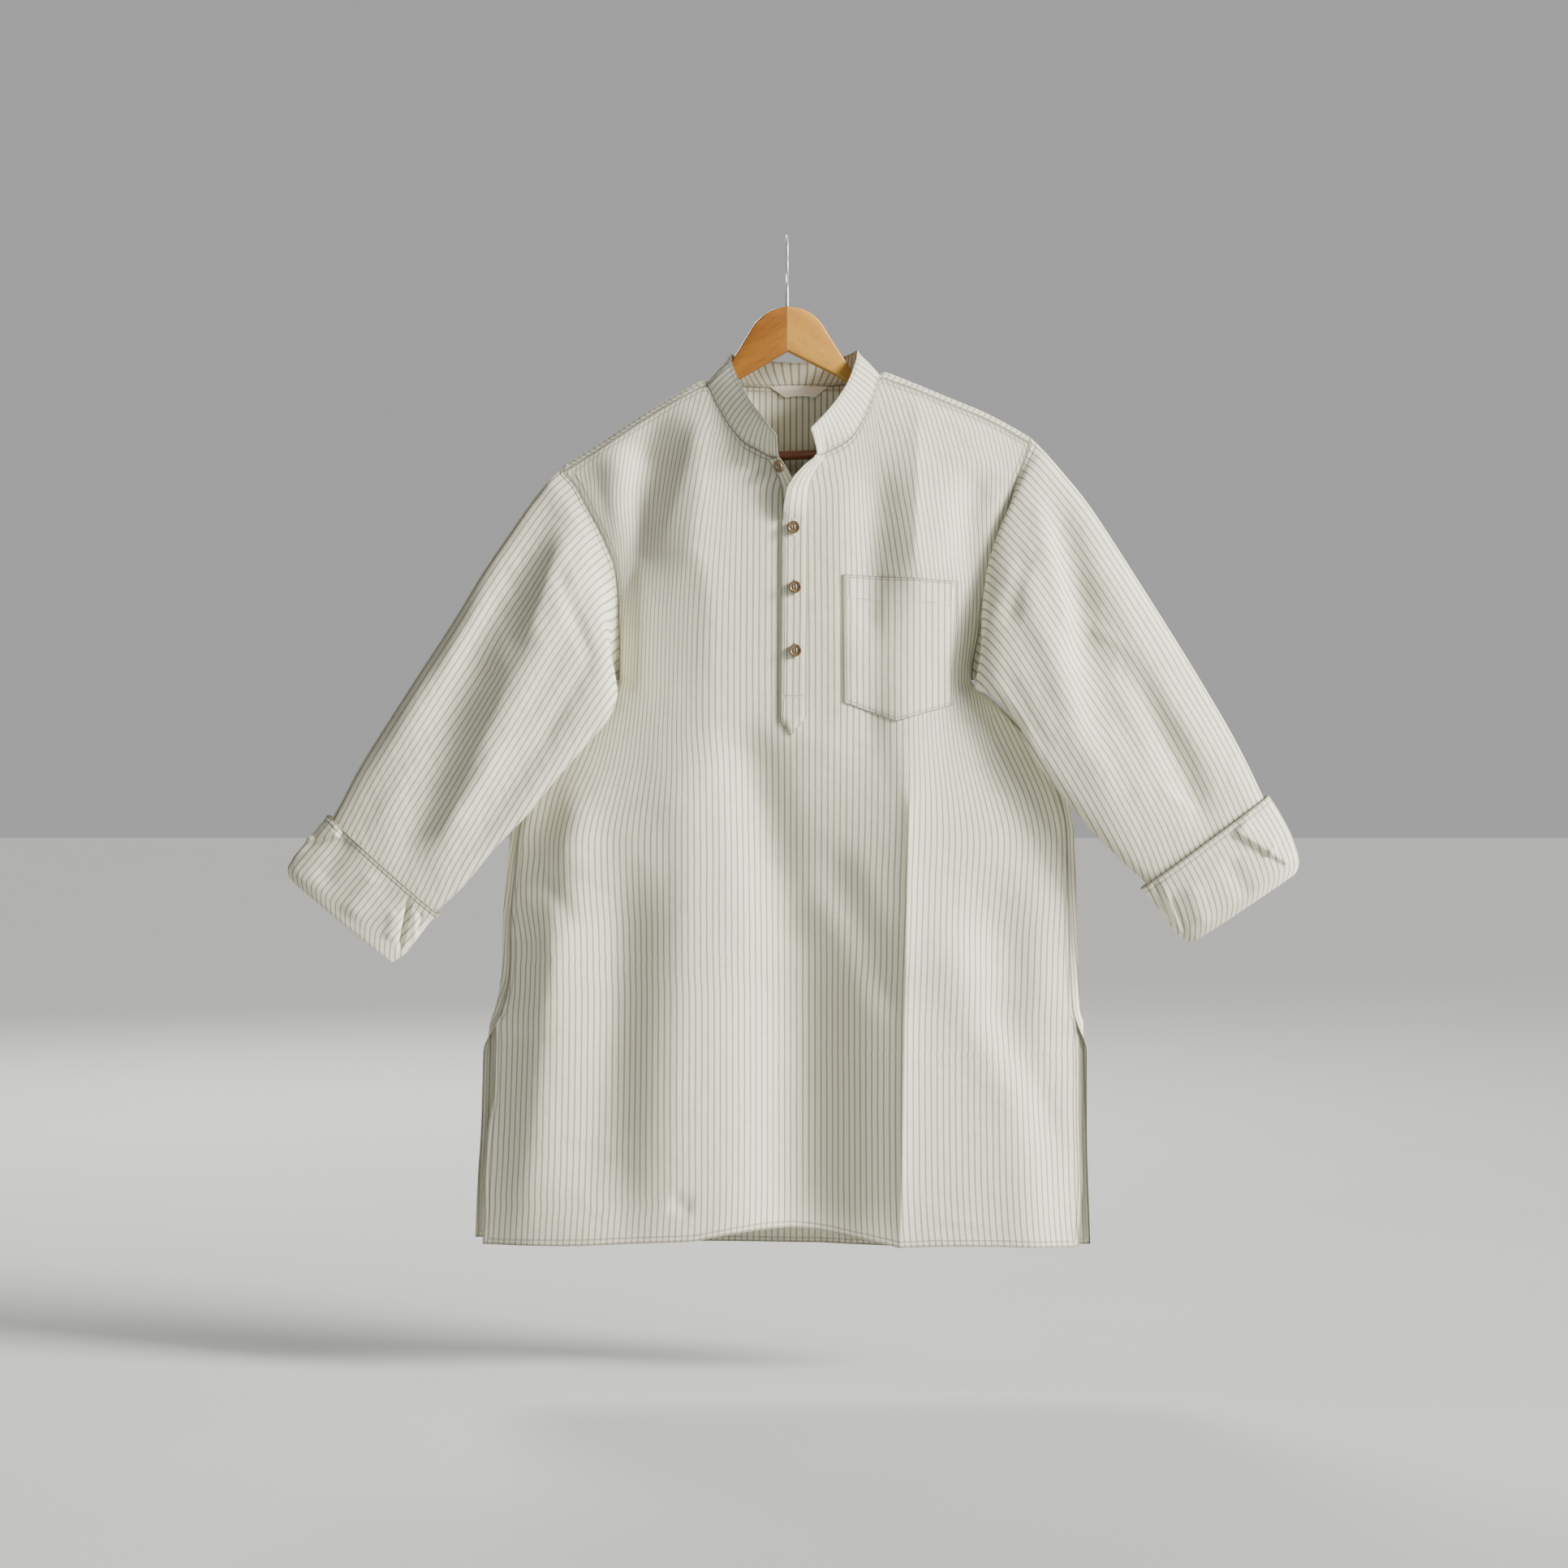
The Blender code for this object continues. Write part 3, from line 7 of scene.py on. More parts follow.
import bmesh
import bpy
import numpy as np
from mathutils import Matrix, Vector


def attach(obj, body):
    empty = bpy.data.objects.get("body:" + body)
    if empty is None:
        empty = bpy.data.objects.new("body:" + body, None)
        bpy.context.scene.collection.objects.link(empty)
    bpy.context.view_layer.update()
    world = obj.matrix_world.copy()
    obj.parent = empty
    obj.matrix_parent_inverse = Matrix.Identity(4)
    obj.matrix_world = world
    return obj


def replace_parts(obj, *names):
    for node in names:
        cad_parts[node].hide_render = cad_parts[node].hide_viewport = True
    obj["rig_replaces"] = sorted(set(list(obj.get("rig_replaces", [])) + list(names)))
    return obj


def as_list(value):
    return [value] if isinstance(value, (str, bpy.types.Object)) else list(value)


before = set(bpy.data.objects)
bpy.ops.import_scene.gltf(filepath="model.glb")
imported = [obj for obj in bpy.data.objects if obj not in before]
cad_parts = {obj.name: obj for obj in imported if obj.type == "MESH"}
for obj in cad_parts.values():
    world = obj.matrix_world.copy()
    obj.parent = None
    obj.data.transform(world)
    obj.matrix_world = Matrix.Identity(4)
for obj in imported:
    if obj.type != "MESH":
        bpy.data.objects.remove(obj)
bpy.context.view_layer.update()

# Cloth and sewing
MM = 0.001
WALL = 1.5
SEAM_GAP = 0.3
LAYER = WALL + 0.45
SHOULDER_ROLL = 9.0
SIDE_INSET = 9.0
RIDGE_FADE = 70.0
PIN_FADE = 12.0
CORNER_STEP = 3.0

# Levels down the body
UNDERARM_Z = -450.0
YOKE_Z = -560.0
CHEST_TOP_Z = -200.0
SLIT_TOP_Z = -803.0
HEM_Z = -1020.0
HEM_SHIFT_TOP_Z = -865.0
OPENING_TOP_Z = -226.0

# Corners of the shoulders and neck on the shoulder line
LEFT_TIP_X = -227.0
LEFT_NECK_X = -82.0
RIGHT_NECK_X = 95.0
RIGHT_TIP_X = 247.0

# Hanger
HOOK_WIRE = 2.6
HOOK_INNER_RADIUS = 20.0
STEM_TOP_Z = -55.0
WOOD_TOP_Z = -71.5
ARM_THICKNESS = 9.0
ARM_ROUNDING = 3.2
ARM_DEPTH = 24.0
ARM_SWEEP = 16.0
ARM_DROP = 2.9
NECK_DIP = 7.0
BAR_DIAMETER = 9.4
BAR_DROP_Z = -221.5
BAR_INSET = 44
HANGER_TILT = 0.045
HEEL_STEP = 0.5

# Buttons
BUTTON_DIAMETER = 12.7
BUTTON_THICKNESS = 2.4
HOLE_DIAMETER = 1.7
HOLE_PITCH = 2.7

Line = namedtuple("Line", "x z")
Profile = namedtuple("Profile", "z value")
Column = namedtuple("Column", "top base hem")
Opening = namedtuple("Opening", "z strip under under_rise slit placket stitch")
Fold = namedtuple("Fold", "x0 z0 x1 z1 width height sharp")
Section = namedtuple("Section", "outer_x outer_z inner_x inner_z bow outer_y inner_y front back")
Rim = namedtuple("Rim", "share x y z")


def table(kind, rows):
    """Rows of plain numbers as named tuples of one kind."""
    return [kind(*row) for row in rows]


# The line of the shoulders, left tip to right tip
RIDGE = table(Line, [
    (-260, -252), (-227, -231), (-205, -217.5), (-182, -203), (-155, -185), (-125, -166), (-82, -144.5),
    (0, -106), (95, -136.5), (133, -149.5), (164, -162.6), (195, -174.7), (220, -186.7), (247, -202.3),
    (280, -222)])

# Armholes from the shoulder tips, then the outermost line of the body down to the hem
LEFT_SIDE = table(Profile, [
    (-225, -228), (-239, -222), (-273, -205), (-306, -187), (-333, -176), (-360, -172), (-417, -170),
    (-450, -171), (-471, -199), (-530, -254), (-580, -277), (-607, -281), (-683, -289), (-739, -290),
    (-771, -292), (-803, -304.5), (-826, -309), (-925, -312), (-960, -315), (-1020, -317)])
RIGHT_SIDE = table(Profile, [
    (-196, 248), (-206, 243), (-232, 239), (-252, 231), (-328, 212), (-390, 198), (-435, 187.5),
    (-450, 187), (-471, 212), (-520, 262), (-570, 287), (-586, 291.5), (-677, 294), (-739, 296),
    (-783, 297.7), (-803, 302.5), (-826, 305), (-925, 305), (-1020, 308.7)])

# Free front edges below the side slits
LEFT_FLAP = table(Profile, [
    (-803, -297), (-826, -298.5), (-860, -298.5), (-890, -302), (-920, -306.5), (-950, -308.5),
    (-985, -307.5), (-1020, -309.6)])
RIGHT_FLAP = table(Profile, [(-803, 295.5), (-826, 297.5), (-900, 298), (-960, 300), (-1020, 296)])

# Front and back hems, left to right
FRONT_HEM = table(Line, [
    (-318, -1023.5), (-210, -1022), (-142, -1018.5), (-92, -1016.5), (-60, -1010), (-20, -1005.5),
    (5, -1005), (35, -1008), (75, -1015), (113, -1022.5), (180, -1021.5), (245, -1024), (310, -1027.5)])
BACK_HEM = table(Line, [
    (-318, -1017), (-200, -1021), (-123, -1025), (24, -1026), (70, -1029), (114, -1031), (212, -1029.5),
    (310, -1024)])

# Neck seam: front from the left shoulder to the right one, and the back neck
LEFT_NECK = table(Line, [
    (-82, -152.5), (-75.5, -165), (-62.4, -188), (-49, -207.7), (-31.7, -217.5), (-20, -224.5),
    (-8, -228)])
RIGHT_NECK = table(Line, [
    (29, -226), (38, -222), (47.5, -217.5), (65, -205.5), (80.4, -181.3), (89.2, -159.3), (95, -144.5)])
BACK_NECK = table(Rim, [
    (0, -76, 1, -143), (0, -70, 9.5, -145), (0, -57, 17, -147.5), (0, -30, 22.5, -149),
    (0, 6, 24.5, -149.5), (0, 42, 22.5, -148), (0, 70, 17, -145.5), (0, 83, 9.5, -140.5),
    (0, 89, 1, -136)])

# Depth of the front and back from the middle plane, and at the armhole edges
FRONT_DEPTH = table(Profile, [(-150, 20), (-300, 33), (-450, 37), (-600, 38), (-800, 34), (-1020, 31)])
BACK_DEPTH = table(Profile, [(-150, 24), (-300, 30), (-450, 34), (-600, 35), (-800, 32), (-1020, 29)])
FRONT_EDGE = table(Profile, [(-200, 9), (-250, 12), (-330, 17), (-400, 11), (-430, 6.5), (-450, 0)])
BACK_EDGE = table(Profile, [(-200, 10), (-250, 13), (-330, 15), (-400, 10), (-430, 6), (-450, 0)])

# Front columns left and right of the opening; the rest are spread out to the sides
LEFT_COLUMNS = table(Column, [
    (-150, -150, -165), (-118, -125, -143), (-82, -103, -121), (-70, -80, -97), (-57, -60, -72),
    (-44, -42, -48), (-31, -24, -26)])
RIGHT_COLUMNS = table(Column, [
    (49, 40, 40), (65, 60, 62), (78, 80, 82), (87, 94, 94), (95, 104, 103), (113, 113, 108.5),
    (131, 122, 113), (142, 135, 128), (155, 155, 155)])
BACK_COLUMNS = table(Column, [
    (-150, -150, -155), (-116, -122, -128), (-82, -96, -104), (-76, -82, -88), (-70, -68, -70),
    (-57, -50, -50), (-30, -25, -25), (6, 4, 2), (42, 34, 30), (70, 60, 56), (83, 79, 77), (89, 93, 95),
    (95, 106, 110), (125, 130, 134), (158, 158, 160)])

# The neck opening: edge of the under strip, and both edges of the upper placket
OPENING = table(Opening, [
    (-228, -20, -8, 15, 30, 28.5, 38), (-236, -15, -3, 15, 21, 17.5, 31.5),
    (-247, -9, 4.6, 13, 14.6, 6.8, 25), (-258, -6, 10, 7, 14.8, -0.5, 22.3),
    (-275, -5.5, 13.4, 1.0, 15.2, -3.7, 21.3), (-294, -5, 14, 0, 15.2, -5.6, 21.2),
    (-385, -5.5, 14, 0, 15.2, -6, 20.6), (-470, -6, 14, 0, 15.2, -6.9, 19.4),
    (-600, -6, 14, 0, 15.2, -6.9, 19.4)])
PLACKET_WIDTH = 26.2
PLACKET_FOOT = table(Line, [(-6.9, -493.6), (4, -507), (14.5, -495), (19.4, -489)])

# The largest folds: a ridge toward the viewer has a positive height
FRONT_FOLDS = table(Fold, [
    (-84, -165, -121, -1060, 46, 11, 0.5), (131, -175, 113, -1060, 50, 13, 0.35),
    (-128, -180, -176, -400, 26, -17, 1), (-165, -215, -178, -330, 24, 8, 1),
    (195, -235, 180, -400, 20, -12, 1), (20, -560, 40, -1060, 42, -9, 1),
    (190, -640, 300, -960, 34, -11, 1), (-150, -640, -205, -1000, 34, -9, 1),
    (-205, -560, -285, -1010, 30, 8, 1), (-262, -620, -170, -480, 22, -8, 1),
    (250, -700, 255, -1060, 30, 7, 1), (90, -230, 82, -420, 22, -5, 1)])
BACK_FOLDS = table(Fold, [
    (-118, -170, -118, -1060, 46, 10, 0.5), (118, -170, 116, -1060, 46, 10, 0.5),
    (0, -420, 6, -1060, 44, -10, 1), (-150, -200, -190, -420, 26, -9, 1),
    (160, -190, 196, -420, 26, -9, 1), (-200, -560, -240, -1000, 32, -9, 1),
    (215, -560, 260, -1000, 32, -9, 1)])
SLEEVE_FOLDS = table(Fold, [
    (-236, -265, -378, -560, 17, -8, 1), (-205, -320, -330, -600, 15, 7, 1),
    (-300, -345, -425, -560, 15, 6, 1), (-215, -470, -330, -640, 13, -5, 1),
    (262, -250, 345, -560, 17, -7, 1), (232, -330, 330, -600, 16, 6, 1),
    (310, -320, 430, -560, 15, 6, 1), (330, -420, 425, -610, 13, -5, 1)])

# Sleeve sections from the armhole to the wrist: outer line, underarm line, and depth
LEFT_SLEEVE = table(Section, [
    (-241, -245, -181, -451, 24, 3, -10, 20, 11), (-259, -267, -171, -464, 18, 1, -28, 22, 11),
    (-283, -302, -177, -486, 13, -2, -40, 23, 13), (-309, -341, -200, -515, 8, -6, -44, 23, 13),
    (-339, -391, -230, -549, 4, -10, -45, 22, 14), (-371, -441, -262, -588, 1, -14, -44, 21, 15),
    (-402, -490, -294, -621, 0, -18, -42, 20, 15), (-433, -541, -324, -657, 0, -22, -40, 18, 14),
    (-451.5, -577, -346, -678, 0, -25, -38, 16, 13), (-470, -610, -367, -696, 0, -27, -36, 14, 12),
    (-490.9, -639.2, -389.4, -722.2, 0, -28, -34, 9, 8)])
RIGHT_SLEEVE = table(Section, [
    (260, -216, 197, -450, 24, 3, -10, 20, 11), (279, -238, 189, -460, 18, 1, -28, 22, 11),
    (303, -268, 203, -466, 13, -2, -40, 23, 13), (330, -309, 229, -492, 8, -6, -44, 23, 13),
    (358, -354, 247, -530, 3, -10, -45, 22, 14), (389, -404, 277, -569, 1, -14, -44, 21, 15),
    (422, -459, 307, -604, 0, -18, -42, 20, 15), (452, -512, 338, -635, 0, -22, -40, 18, 14),
    (472.5, -554, 358, -653, 0, -25, -38, 16, 13), (488, -590, 376, -675, 0, -27, -36, 14, 12),
    (501.9, -633.2, 397.4, -703.2, 0, -28, -34, 9, 8)])

# Turned-up cuffs: upper edge, fold at the wrist, and the short return to the end of the sleeve
LEFT_CUFF = table(Section, [
    (-463, -586.5, -349, -687, 0, -26, -37, 23, 19), (-476, -606, -358, -693, 0, -27, -36, 21, 18),
    (-491, -624, -371, -710, 0, -28, -35, 19, 17), (-503, -641, -384, -726, 0, -28, -34, 17, 15),
    (-500, -652, -397, -735, 0, -28, -34, 14, 12.5), (-491.5, -640, -390, -723, 0, -28, -34, 9, 8)])
RIGHT_CUFF = table(Section, [
    (485, -567, 355, -661, 0, -26, -37, 23, 19), (499, -590, 365, -670, 0, -27, -36, 21, 18),
    (509, -611, 378, -688, 0, -28, -35, 19, 17), (515.5, -634, 392, -706, 0, -28, -34, 17, 15),
    (511, -646, 405, -716, 0, -28, -34, 14, 12.5), (502.5, -634, 398, -704, 0, -28, -34, 9, 8)])

# Upper edge of the collar from its left front end round to its right one
COLLAR_EDGE = table(Rim, [
    (0.00, -10.3, -51, -207.7), (0.07, -23, -44, -190), (0.14, -36, -36, -172.5),
    (0.21, -49, -25, -148.3), (0.28, -57, -13, -126), (0.34, -58, -1, -118.5), (0.41, -46, 11, -121),
    (0.50, 6, 18, -124.6), (0.59, 59, 11, -119), (0.66, 71, -1, -114.5), (0.72, 70.5, -13, -122),
    (0.79, 62.8, -25, -146.2), (0.86, 51.8, -36, -166), (0.93, 38.5, -46, -183.5),
    (1.00, 23.3, -57, -200.7)])

COLLAR_BULGE = 1.6
COLLAR_CENTRE = np.array([6.0, 0.0, -160.0])

# Chest pocket corners and foot
POCKET_TOP = table(Line, [(55.7, -345.1), (172.5, -351.7)])
POCKET_FOOT = table(Line, [(56.6, -474), (108.9, -493.2), (167, -476.5)])

# Hanger arm outline on the left of the middle joint: top, then underside
HUMP = table(Line, [(0, -71.5), (14, -74), (31, -85), (43, -103), (53, -119), (62, -133), (71, -145)])
ARM_UNDER = table(Line, [(0, -117.6), (51, -144.5), (80, -166)])

BUTTONS = table(Line, [(6.3, -298.1), (7.7, -358.3), (8.0, -422.0)])
TOP_BUTTON_Z = -236.5
TOP_BUTTON_SHARE = 0.62
BUTTON_REST = 0.7
LABEL = table(Line, [(-17.6, -152), (41.8, -152), (28, -165), (-2, -165)])


def level(profile, z):
    """The value of a profile at a height, or at an array of heights."""
    ordered = sorted(profile)
    return np.interp(z, [p.z for p in ordered], [p.value for p in ordered])


def along(line, x):
    """The height of a line at a place across the garment."""
    ordered = sorted(line)
    return np.interp(x, [p.x for p in ordered], [p.z for p in ordered])


def opening(name, z):
    """One edge of the front opening, or the rise under its strip, at a height."""
    ordered = sorted(OPENING)
    return np.interp(z, [o.z for o in ordered], [getattr(o, name) for o in ordered])


def ease(low, high, value):
    """Rises smoothly from 0 at low to 1 at high."""
    part = np.clip((value - low) / (high - low), 0, 1)
    return part * part * (3 - 2 * part)


def mix(start, end, share):
    """A share of the way from start to end."""
    return start + (end - start) * share


def unit(vectors):
    """Vectors at length one."""
    lengths = np.linalg.norm(vectors, axis=-1, keepdims=True)
    return vectors / np.maximum(lengths, 1e-9)


def fold_height(x, z, folds):
    """Sum of soft ridges and troughs at a place, in millimetres."""
    total = 0.0
    for fold in folds:
        run = np.array([fold.x1 - fold.x0, fold.z1 - fold.z0])
        length = np.hypot(*run)
        share = ((x - fold.x0) * run[0] + (z - fold.z0) * run[1]) / length**2
        across = abs((x - fold.x0) * run[1] - (z - fold.z0) * run[0]) / length / fold.width
        shape = np.exp(-across**2)
        if fold.sharp < 1:
            shape = np.exp(-((across**2 + fold.sharp**4) ** 0.5))
        fade = ease(-0.05, 0.22, share) * (1 - ease(0.78, 1.05, share))
        total = total + fold.height * shape * fade
    return total


def arm_y(x):
    """Depth of the hanger's arms, which sweep back from the middle."""
    return -8.0 + ARM_SWEEP * np.minimum(abs(x) / 220.0, 1.0)


def depth(x, z, depths, edges):
    """Distance of a panel from the middle plane."""
    left = level(LEFT_SIDE, z)
    right = level(RIGHT_SIDE, z)
    across = np.clip(2 * (x - left) / (right - left) - 1, -1, 1)
    edge = level(edges, z)
    power = mix(0.6, 1.0, ease(UNDERARM_Z - 30, UNDERARM_Z + 60, z))
    lens = (1 - across**4) ** power
    drop = 1 - np.exp(-np.maximum(along(RIDGE, x) - z, 0) / 55.0)
    full = SHOULDER_ROLL + (level(depths, z) - SHOULDER_ROLL) * drop
    return edge + (full - edge) * lens


def near_edge(x, z):
    """0 at the outline of the body and 1 well inside it."""
    left = x - level(LEFT_SIDE, z)
    right = level(RIGHT_SIDE, z) - x
    return ease(0, 60, np.minimum(left, right))


def ridge_share(x, z):
    """How far the cloth follows the sweep of the arms, fading below the shoulders."""
    return np.exp(-np.maximum(along(RIDGE, x) - z, 0) / RIDGE_FADE)


def front_y(x, z):
    """Depth of the front panel, with the folds that the solid has."""
    folds = fold_height(x, z, FRONT_FOLDS) * near_edge(x, z)
    return arm_y(x) * ridge_share(x, z) - depth(x, z, FRONT_DEPTH, FRONT_EDGE) - folds


def back_y(x, z):
    """Depth of the back panel, with the folds that the solid has."""
    folds = fold_height(x, z, BACK_FOLDS) * near_edge(x, z)
    return arm_y(x) * ridge_share(x, z) + depth(x, z, BACK_DEPTH, BACK_EDGE) + folds


UPPER_ROWS = [0.0, 0.14, 0.27, 0.335, 0.40, 0.46, 0.52, 0.58, 0.64, 0.70, 0.76, 0.82, 0.88, 0.94, 1.0]
UNDERARM_ROW = UPPER_ROWS.index(0.335)
SLIT_ROW = UPPER_ROWS.index(0.27)
LOWER_ROWS = [-1020.0, -992.0, -955.0, -910.0, -865.0, -828.0, -803.0, -785.0, -745.0, -695.0,
              -650.0, -605.0]
ROLL_ANGLES = [45, 0, -40, -80]


def row_height(share, top_z):
    """Height of an upper row: level up to the underarm, then following the upper edge."""
    low = UPPER_ROWS[UNDERARM_ROW]
    if share <= low:
        return mix(YOKE_Z, UNDERARM_Z, share / low)
    return mix(UNDERARM_Z, top_z, (share - low) / (1 - low))


def column_x(column, z):
    """Where a column of the grid stands at a height, from its top to the hem."""
    if z > CHEST_TOP_Z:
        return column.top
    if z > YOKE_Z:
        return mix(column.base, column.top, (z - YOKE_Z) / (CHEST_TOP_Z - YOKE_Z))
    return mix(column.base, column.hem, (YOKE_Z - z) / (YOKE_Z - HEM_Z))


def seam_end(x):
    """The end of the shoulder seam on the front of the rolled shoulder."""
    return roll_point(x, ROLL_ANGLES[-1])


def roll_point(x, degrees):
    """A place on the rolled shoulder, turned forward or back from its ridge."""
    angle = math.radians(degrees)
    ridge = along(RIDGE, x)
    y = arm_y(x) + SHOULDER_ROLL * math.sin(angle)
    return np.array([x, y, ridge - SHOULDER_ROLL * (1 - math.cos(angle))])


def pinned(below):
    """Share of a correction made at a panel's upper edge that is left a little below it."""
    return math.exp(-below / PIN_FADE)


def hem_shift(line, x, z):
    """How much a low row moves down or up to follow the curved hem."""
    return (along(line, x) - HEM_Z) * (1 - ease(HEM_Z, HEM_SHIFT_TOP_Z, z))


def front_side(z, left):
    """Where the front panel ends at a height: armhole, side seam or free slit edge."""
    outline = level(LEFT_SIDE if left else RIGHT_SIDE, z)
    if z >= UNDERARM_Z:
        return outline
    if z < SLIT_TOP_Z:
        return level(LEFT_FLAP if left else RIGHT_FLAP, z)
    inset = SIDE_INSET * ease(-15, 60, UNDERARM_Z - z)
    inset = mix(inset, 7.2, ease(-770, SLIT_TOP_Z, z) if z < -770 else 0)
    return outline + (inset if left else -inset)


def spread(edge, inner, shares):
    """Places from an edge toward the nearest column."""
    return [mix(edge, inner, share) for share in shares]


FRONT_SPREAD = [0.0, 0.12, 0.32, 0.62]


def front_columns(z):
    """Places across one front row, with the two edges of the opening in the middle."""
    left_edge = front_side(z, True)
    right_edge = front_side(z, False)
    left = [column_x(c, z) for c in LEFT_COLUMNS]
    right = [column_x(c, z) for c in RIGHT_COLUMNS]
    xs = spread(left_edge, left[0], FRONT_SPREAD) + left
    fold = opening("strip", z) + 1.2
    edge = opening("under", z) - 0.7
    xs += [fold, (fold + edge) / 2, edge]
    xs += [opening("slit", z), opening("stitch", z)] + right
    xs += spread(right_edge, right[-1], FRONT_SPREAD)[::-1]
    return xs


OPENING_COLUMN = len(FRONT_SPREAD) + len(LEFT_COLUMNS) + 2


def flap_rise(index, z):
    """How far the two flaps of the open neck stand out toward the viewer."""
    if index in (OPENING_COLUMN - 1, OPENING_COLUMN):
        wide = opening("under", z) - opening("strip", z)
        rise = clear_rise(opening("under_rise", z), wide, 1.0, 1.5)
        return rise if index == OPENING_COLUMN else rise / 2
    if index == OPENING_COLUMN + 1:
        wide = opening("stitch", z) - opening("placket", z)
        full = math.sqrt(max(PLACKET_WIDTH**2 - wide**2, 0.0))
        return clear_rise(full, wide, (opening("stitch", z) - opening("slit", z)) / wide, 2.0)
    return 0.0


def clear_rise(full, wide, share, layers):
    """The panel stays a full layer behind a strip that stands out at a steep angle."""
    return max(full * share - LAYER * layers * (math.hypot(full, wide) / wide - 1), 0.0)


def front_top(index, x):
    """Upper end of a front column: the shoulder seam or the neck seam."""
    if x <= LEFT_NECK_X or x >= RIGHT_NECK_X:
        return seam_end(x)
    line = LEFT_NECK if index <= OPENING_COLUMN else RIGHT_NECK
    z = along(line, x)
    return np.array([x, front_y(x, z), z])


def front_grid():
    """The coarse grid of the front panel, row by row from the hem to the shoulders."""
    rows = []
    top_xs = front_columns(OPENING_TOP_Z)
    top_xs[0:4] = spread(LEFT_TIP_X, LEFT_COLUMNS[0].top, FRONT_SPREAD)
    top_xs[-4:] = spread(RIGHT_TIP_X, RIGHT_COLUMNS[-1].top, FRONT_SPREAD)[::-1]
    count = len(top_xs)
    tops = [front_top(i, x) for i, x in enumerate(top_xs)]
    for z in LOWER_ROWS:
        row = []
        for index, x in enumerate(front_columns(z)):
            row.append((x, front_y(x, z), z + hem_shift(FRONT_HEM, x, z)))
        rows.append(row)
    for share in UPPER_ROWS:
        row = []
        for index in range(count):
            z = row_height(share, tops[index][2])
            x = front_columns(z)[index]
            if share == 1.0:
                x = top_xs[index]
            top = tops[index]
            pin = pinned(top[2] - z) * (top[1] - front_y(top_xs[index], top[2]))
            row.append((x, front_y(x, z) + pin - flap_rise(index, z), z))
        rows.append(row)
    return np.array(rows)


BACK_ROWS = UPPER_ROWS[:-1]
BACK_SPREAD = [0.35, 0.7]
NECK_SHARES = [0.955, 0.97, 0.985, 1.0]


def back_side(z, left):
    """The first four places of a back row, which wraps round the side seam to the front."""
    sign = 1 if left else -1
    outline = level(LEFT_SIDE if left else RIGHT_SIDE, z)
    wrap = ease(-15, 60, UNDERARM_Z - z) * ease(-826, -790, z)
    first = outline
    if SLIT_TOP_Z <= z < UNDERARM_Z:
        first = front_side(z, left)
    steps = [mix(4, 0, wrap), mix(8, 4, wrap), mix(13, 14, wrap)]
    xs = [first] + [outline + sign * step for step in steps]
    ys = [front_y(first, z) if SLIT_TOP_Z <= z < UNDERARM_Z else back_y(first, z)]
    ys += [back_y(x, z) for x in xs[1:]]
    return xs, ys


def back_row_xy(z):
    """Places and depths across one back row."""
    left_x, left_y = back_side(z, True)
    right_x, right_y = back_side(z, False)
    middle = [column_x(c, z) for c in BACK_COLUMNS]
    left_x = left_x + spread(left_x[-1], middle[0], BACK_SPREAD)
    right_x = right_x + spread(right_x[-1], middle[-1], BACK_SPREAD)
    xs = left_x + middle + right_x[::-1]
    ys = [back_y(x, z) for x in xs]
    ys[0:4] = left_y
    ys[-4:] = right_y[::-1]
    return xs, ys


def back_tops():
    """Upper end of each back column, and whether it rolls over the shoulder."""
    left = spread(LEFT_TIP_X, BACK_COLUMNS[0].top, [0, 0.1, 0.22, 0.36, 0.57, 0.79])
    right = spread(RIGHT_TIP_X, BACK_COLUMNS[-1].top, [0, 0.1, 0.22, 0.36, 0.57, 0.79])[::-1]
    xs = left + [c.top for c in BACK_COLUMNS] + right
    tops = []
    for x in xs:
        rolled = x <= LEFT_NECK_X or x >= RIGHT_NECK_X
        if rolled:
            tops.append((roll_point(x, 90), True))
        else:
            places = [r.x for r in BACK_NECK]
            y = np.interp(x, places, [r.y for r in BACK_NECK])
            tops.append((np.array([x, y, np.interp(x, places, [r.z for r in BACK_NECK])]), False))
    return tops


def corner_step(x, angle):
    """Keeps the rolled cloth beside the neck clear of the foot of the collar."""
    step = CORNER_STEP / 2 if angle == ROLL_ANGLES[-1] else CORNER_STEP
    if x == LEFT_NECK_X:
        return x - step
    return x + step if x == RIGHT_NECK_X else x


def stretch(share):
    """Rows above the underarm spread so that the last one before the roll ends a column."""
    low = UPPER_ROWS[UNDERARM_ROW]
    return share if share <= low else low + (share - low) * (1 - low) / (BACK_ROWS[-1] - low)


def back_grid():
    """The coarse grid of the back panel, row by row from the hem to the neck."""
    rows = []
    tops = back_tops()
    for z in LOWER_ROWS:
        xs, ys = back_row_xy(z)
        rows.append([(x, y, z + hem_shift(BACK_HEM, x, z)) for x, y in zip(xs, ys)])
    for share in BACK_ROWS + NECK_SHARES:
        row = []
        for index, (top, rolled) in enumerate(tops):
            if rolled and share > BACK_ROWS[-1]:
                angle = ROLL_ANGLES[NECK_SHARES.index(share)]
                row.append(roll_point(corner_step(top[0], angle), angle))
                continue
            reach = stretch(share) if rolled else share
            z = row_height(reach, top[2])
            xs, ys = back_row_xy(z)
            x, y = (top[0], top[1]) if reach > 0.9999 else (xs[index], ys[index])
            pin = pinned(top[2] - z) * (top[1] - back_y(top[0], top[2])) if reach < 0.9999 else 0.0
            row.append((x, y + pin, z))
        rows.append(row)
    return np.array(rows)


def grid_quads(rows, columns):
    """Quads of a grid of points stored row by row."""
    quads = []
    for r in range(rows - 1):
        for c in range(columns - 1):
            low = r * columns + c
            high = low + columns
            quads.append((low, low + 1, high + 1, high))
    return quads


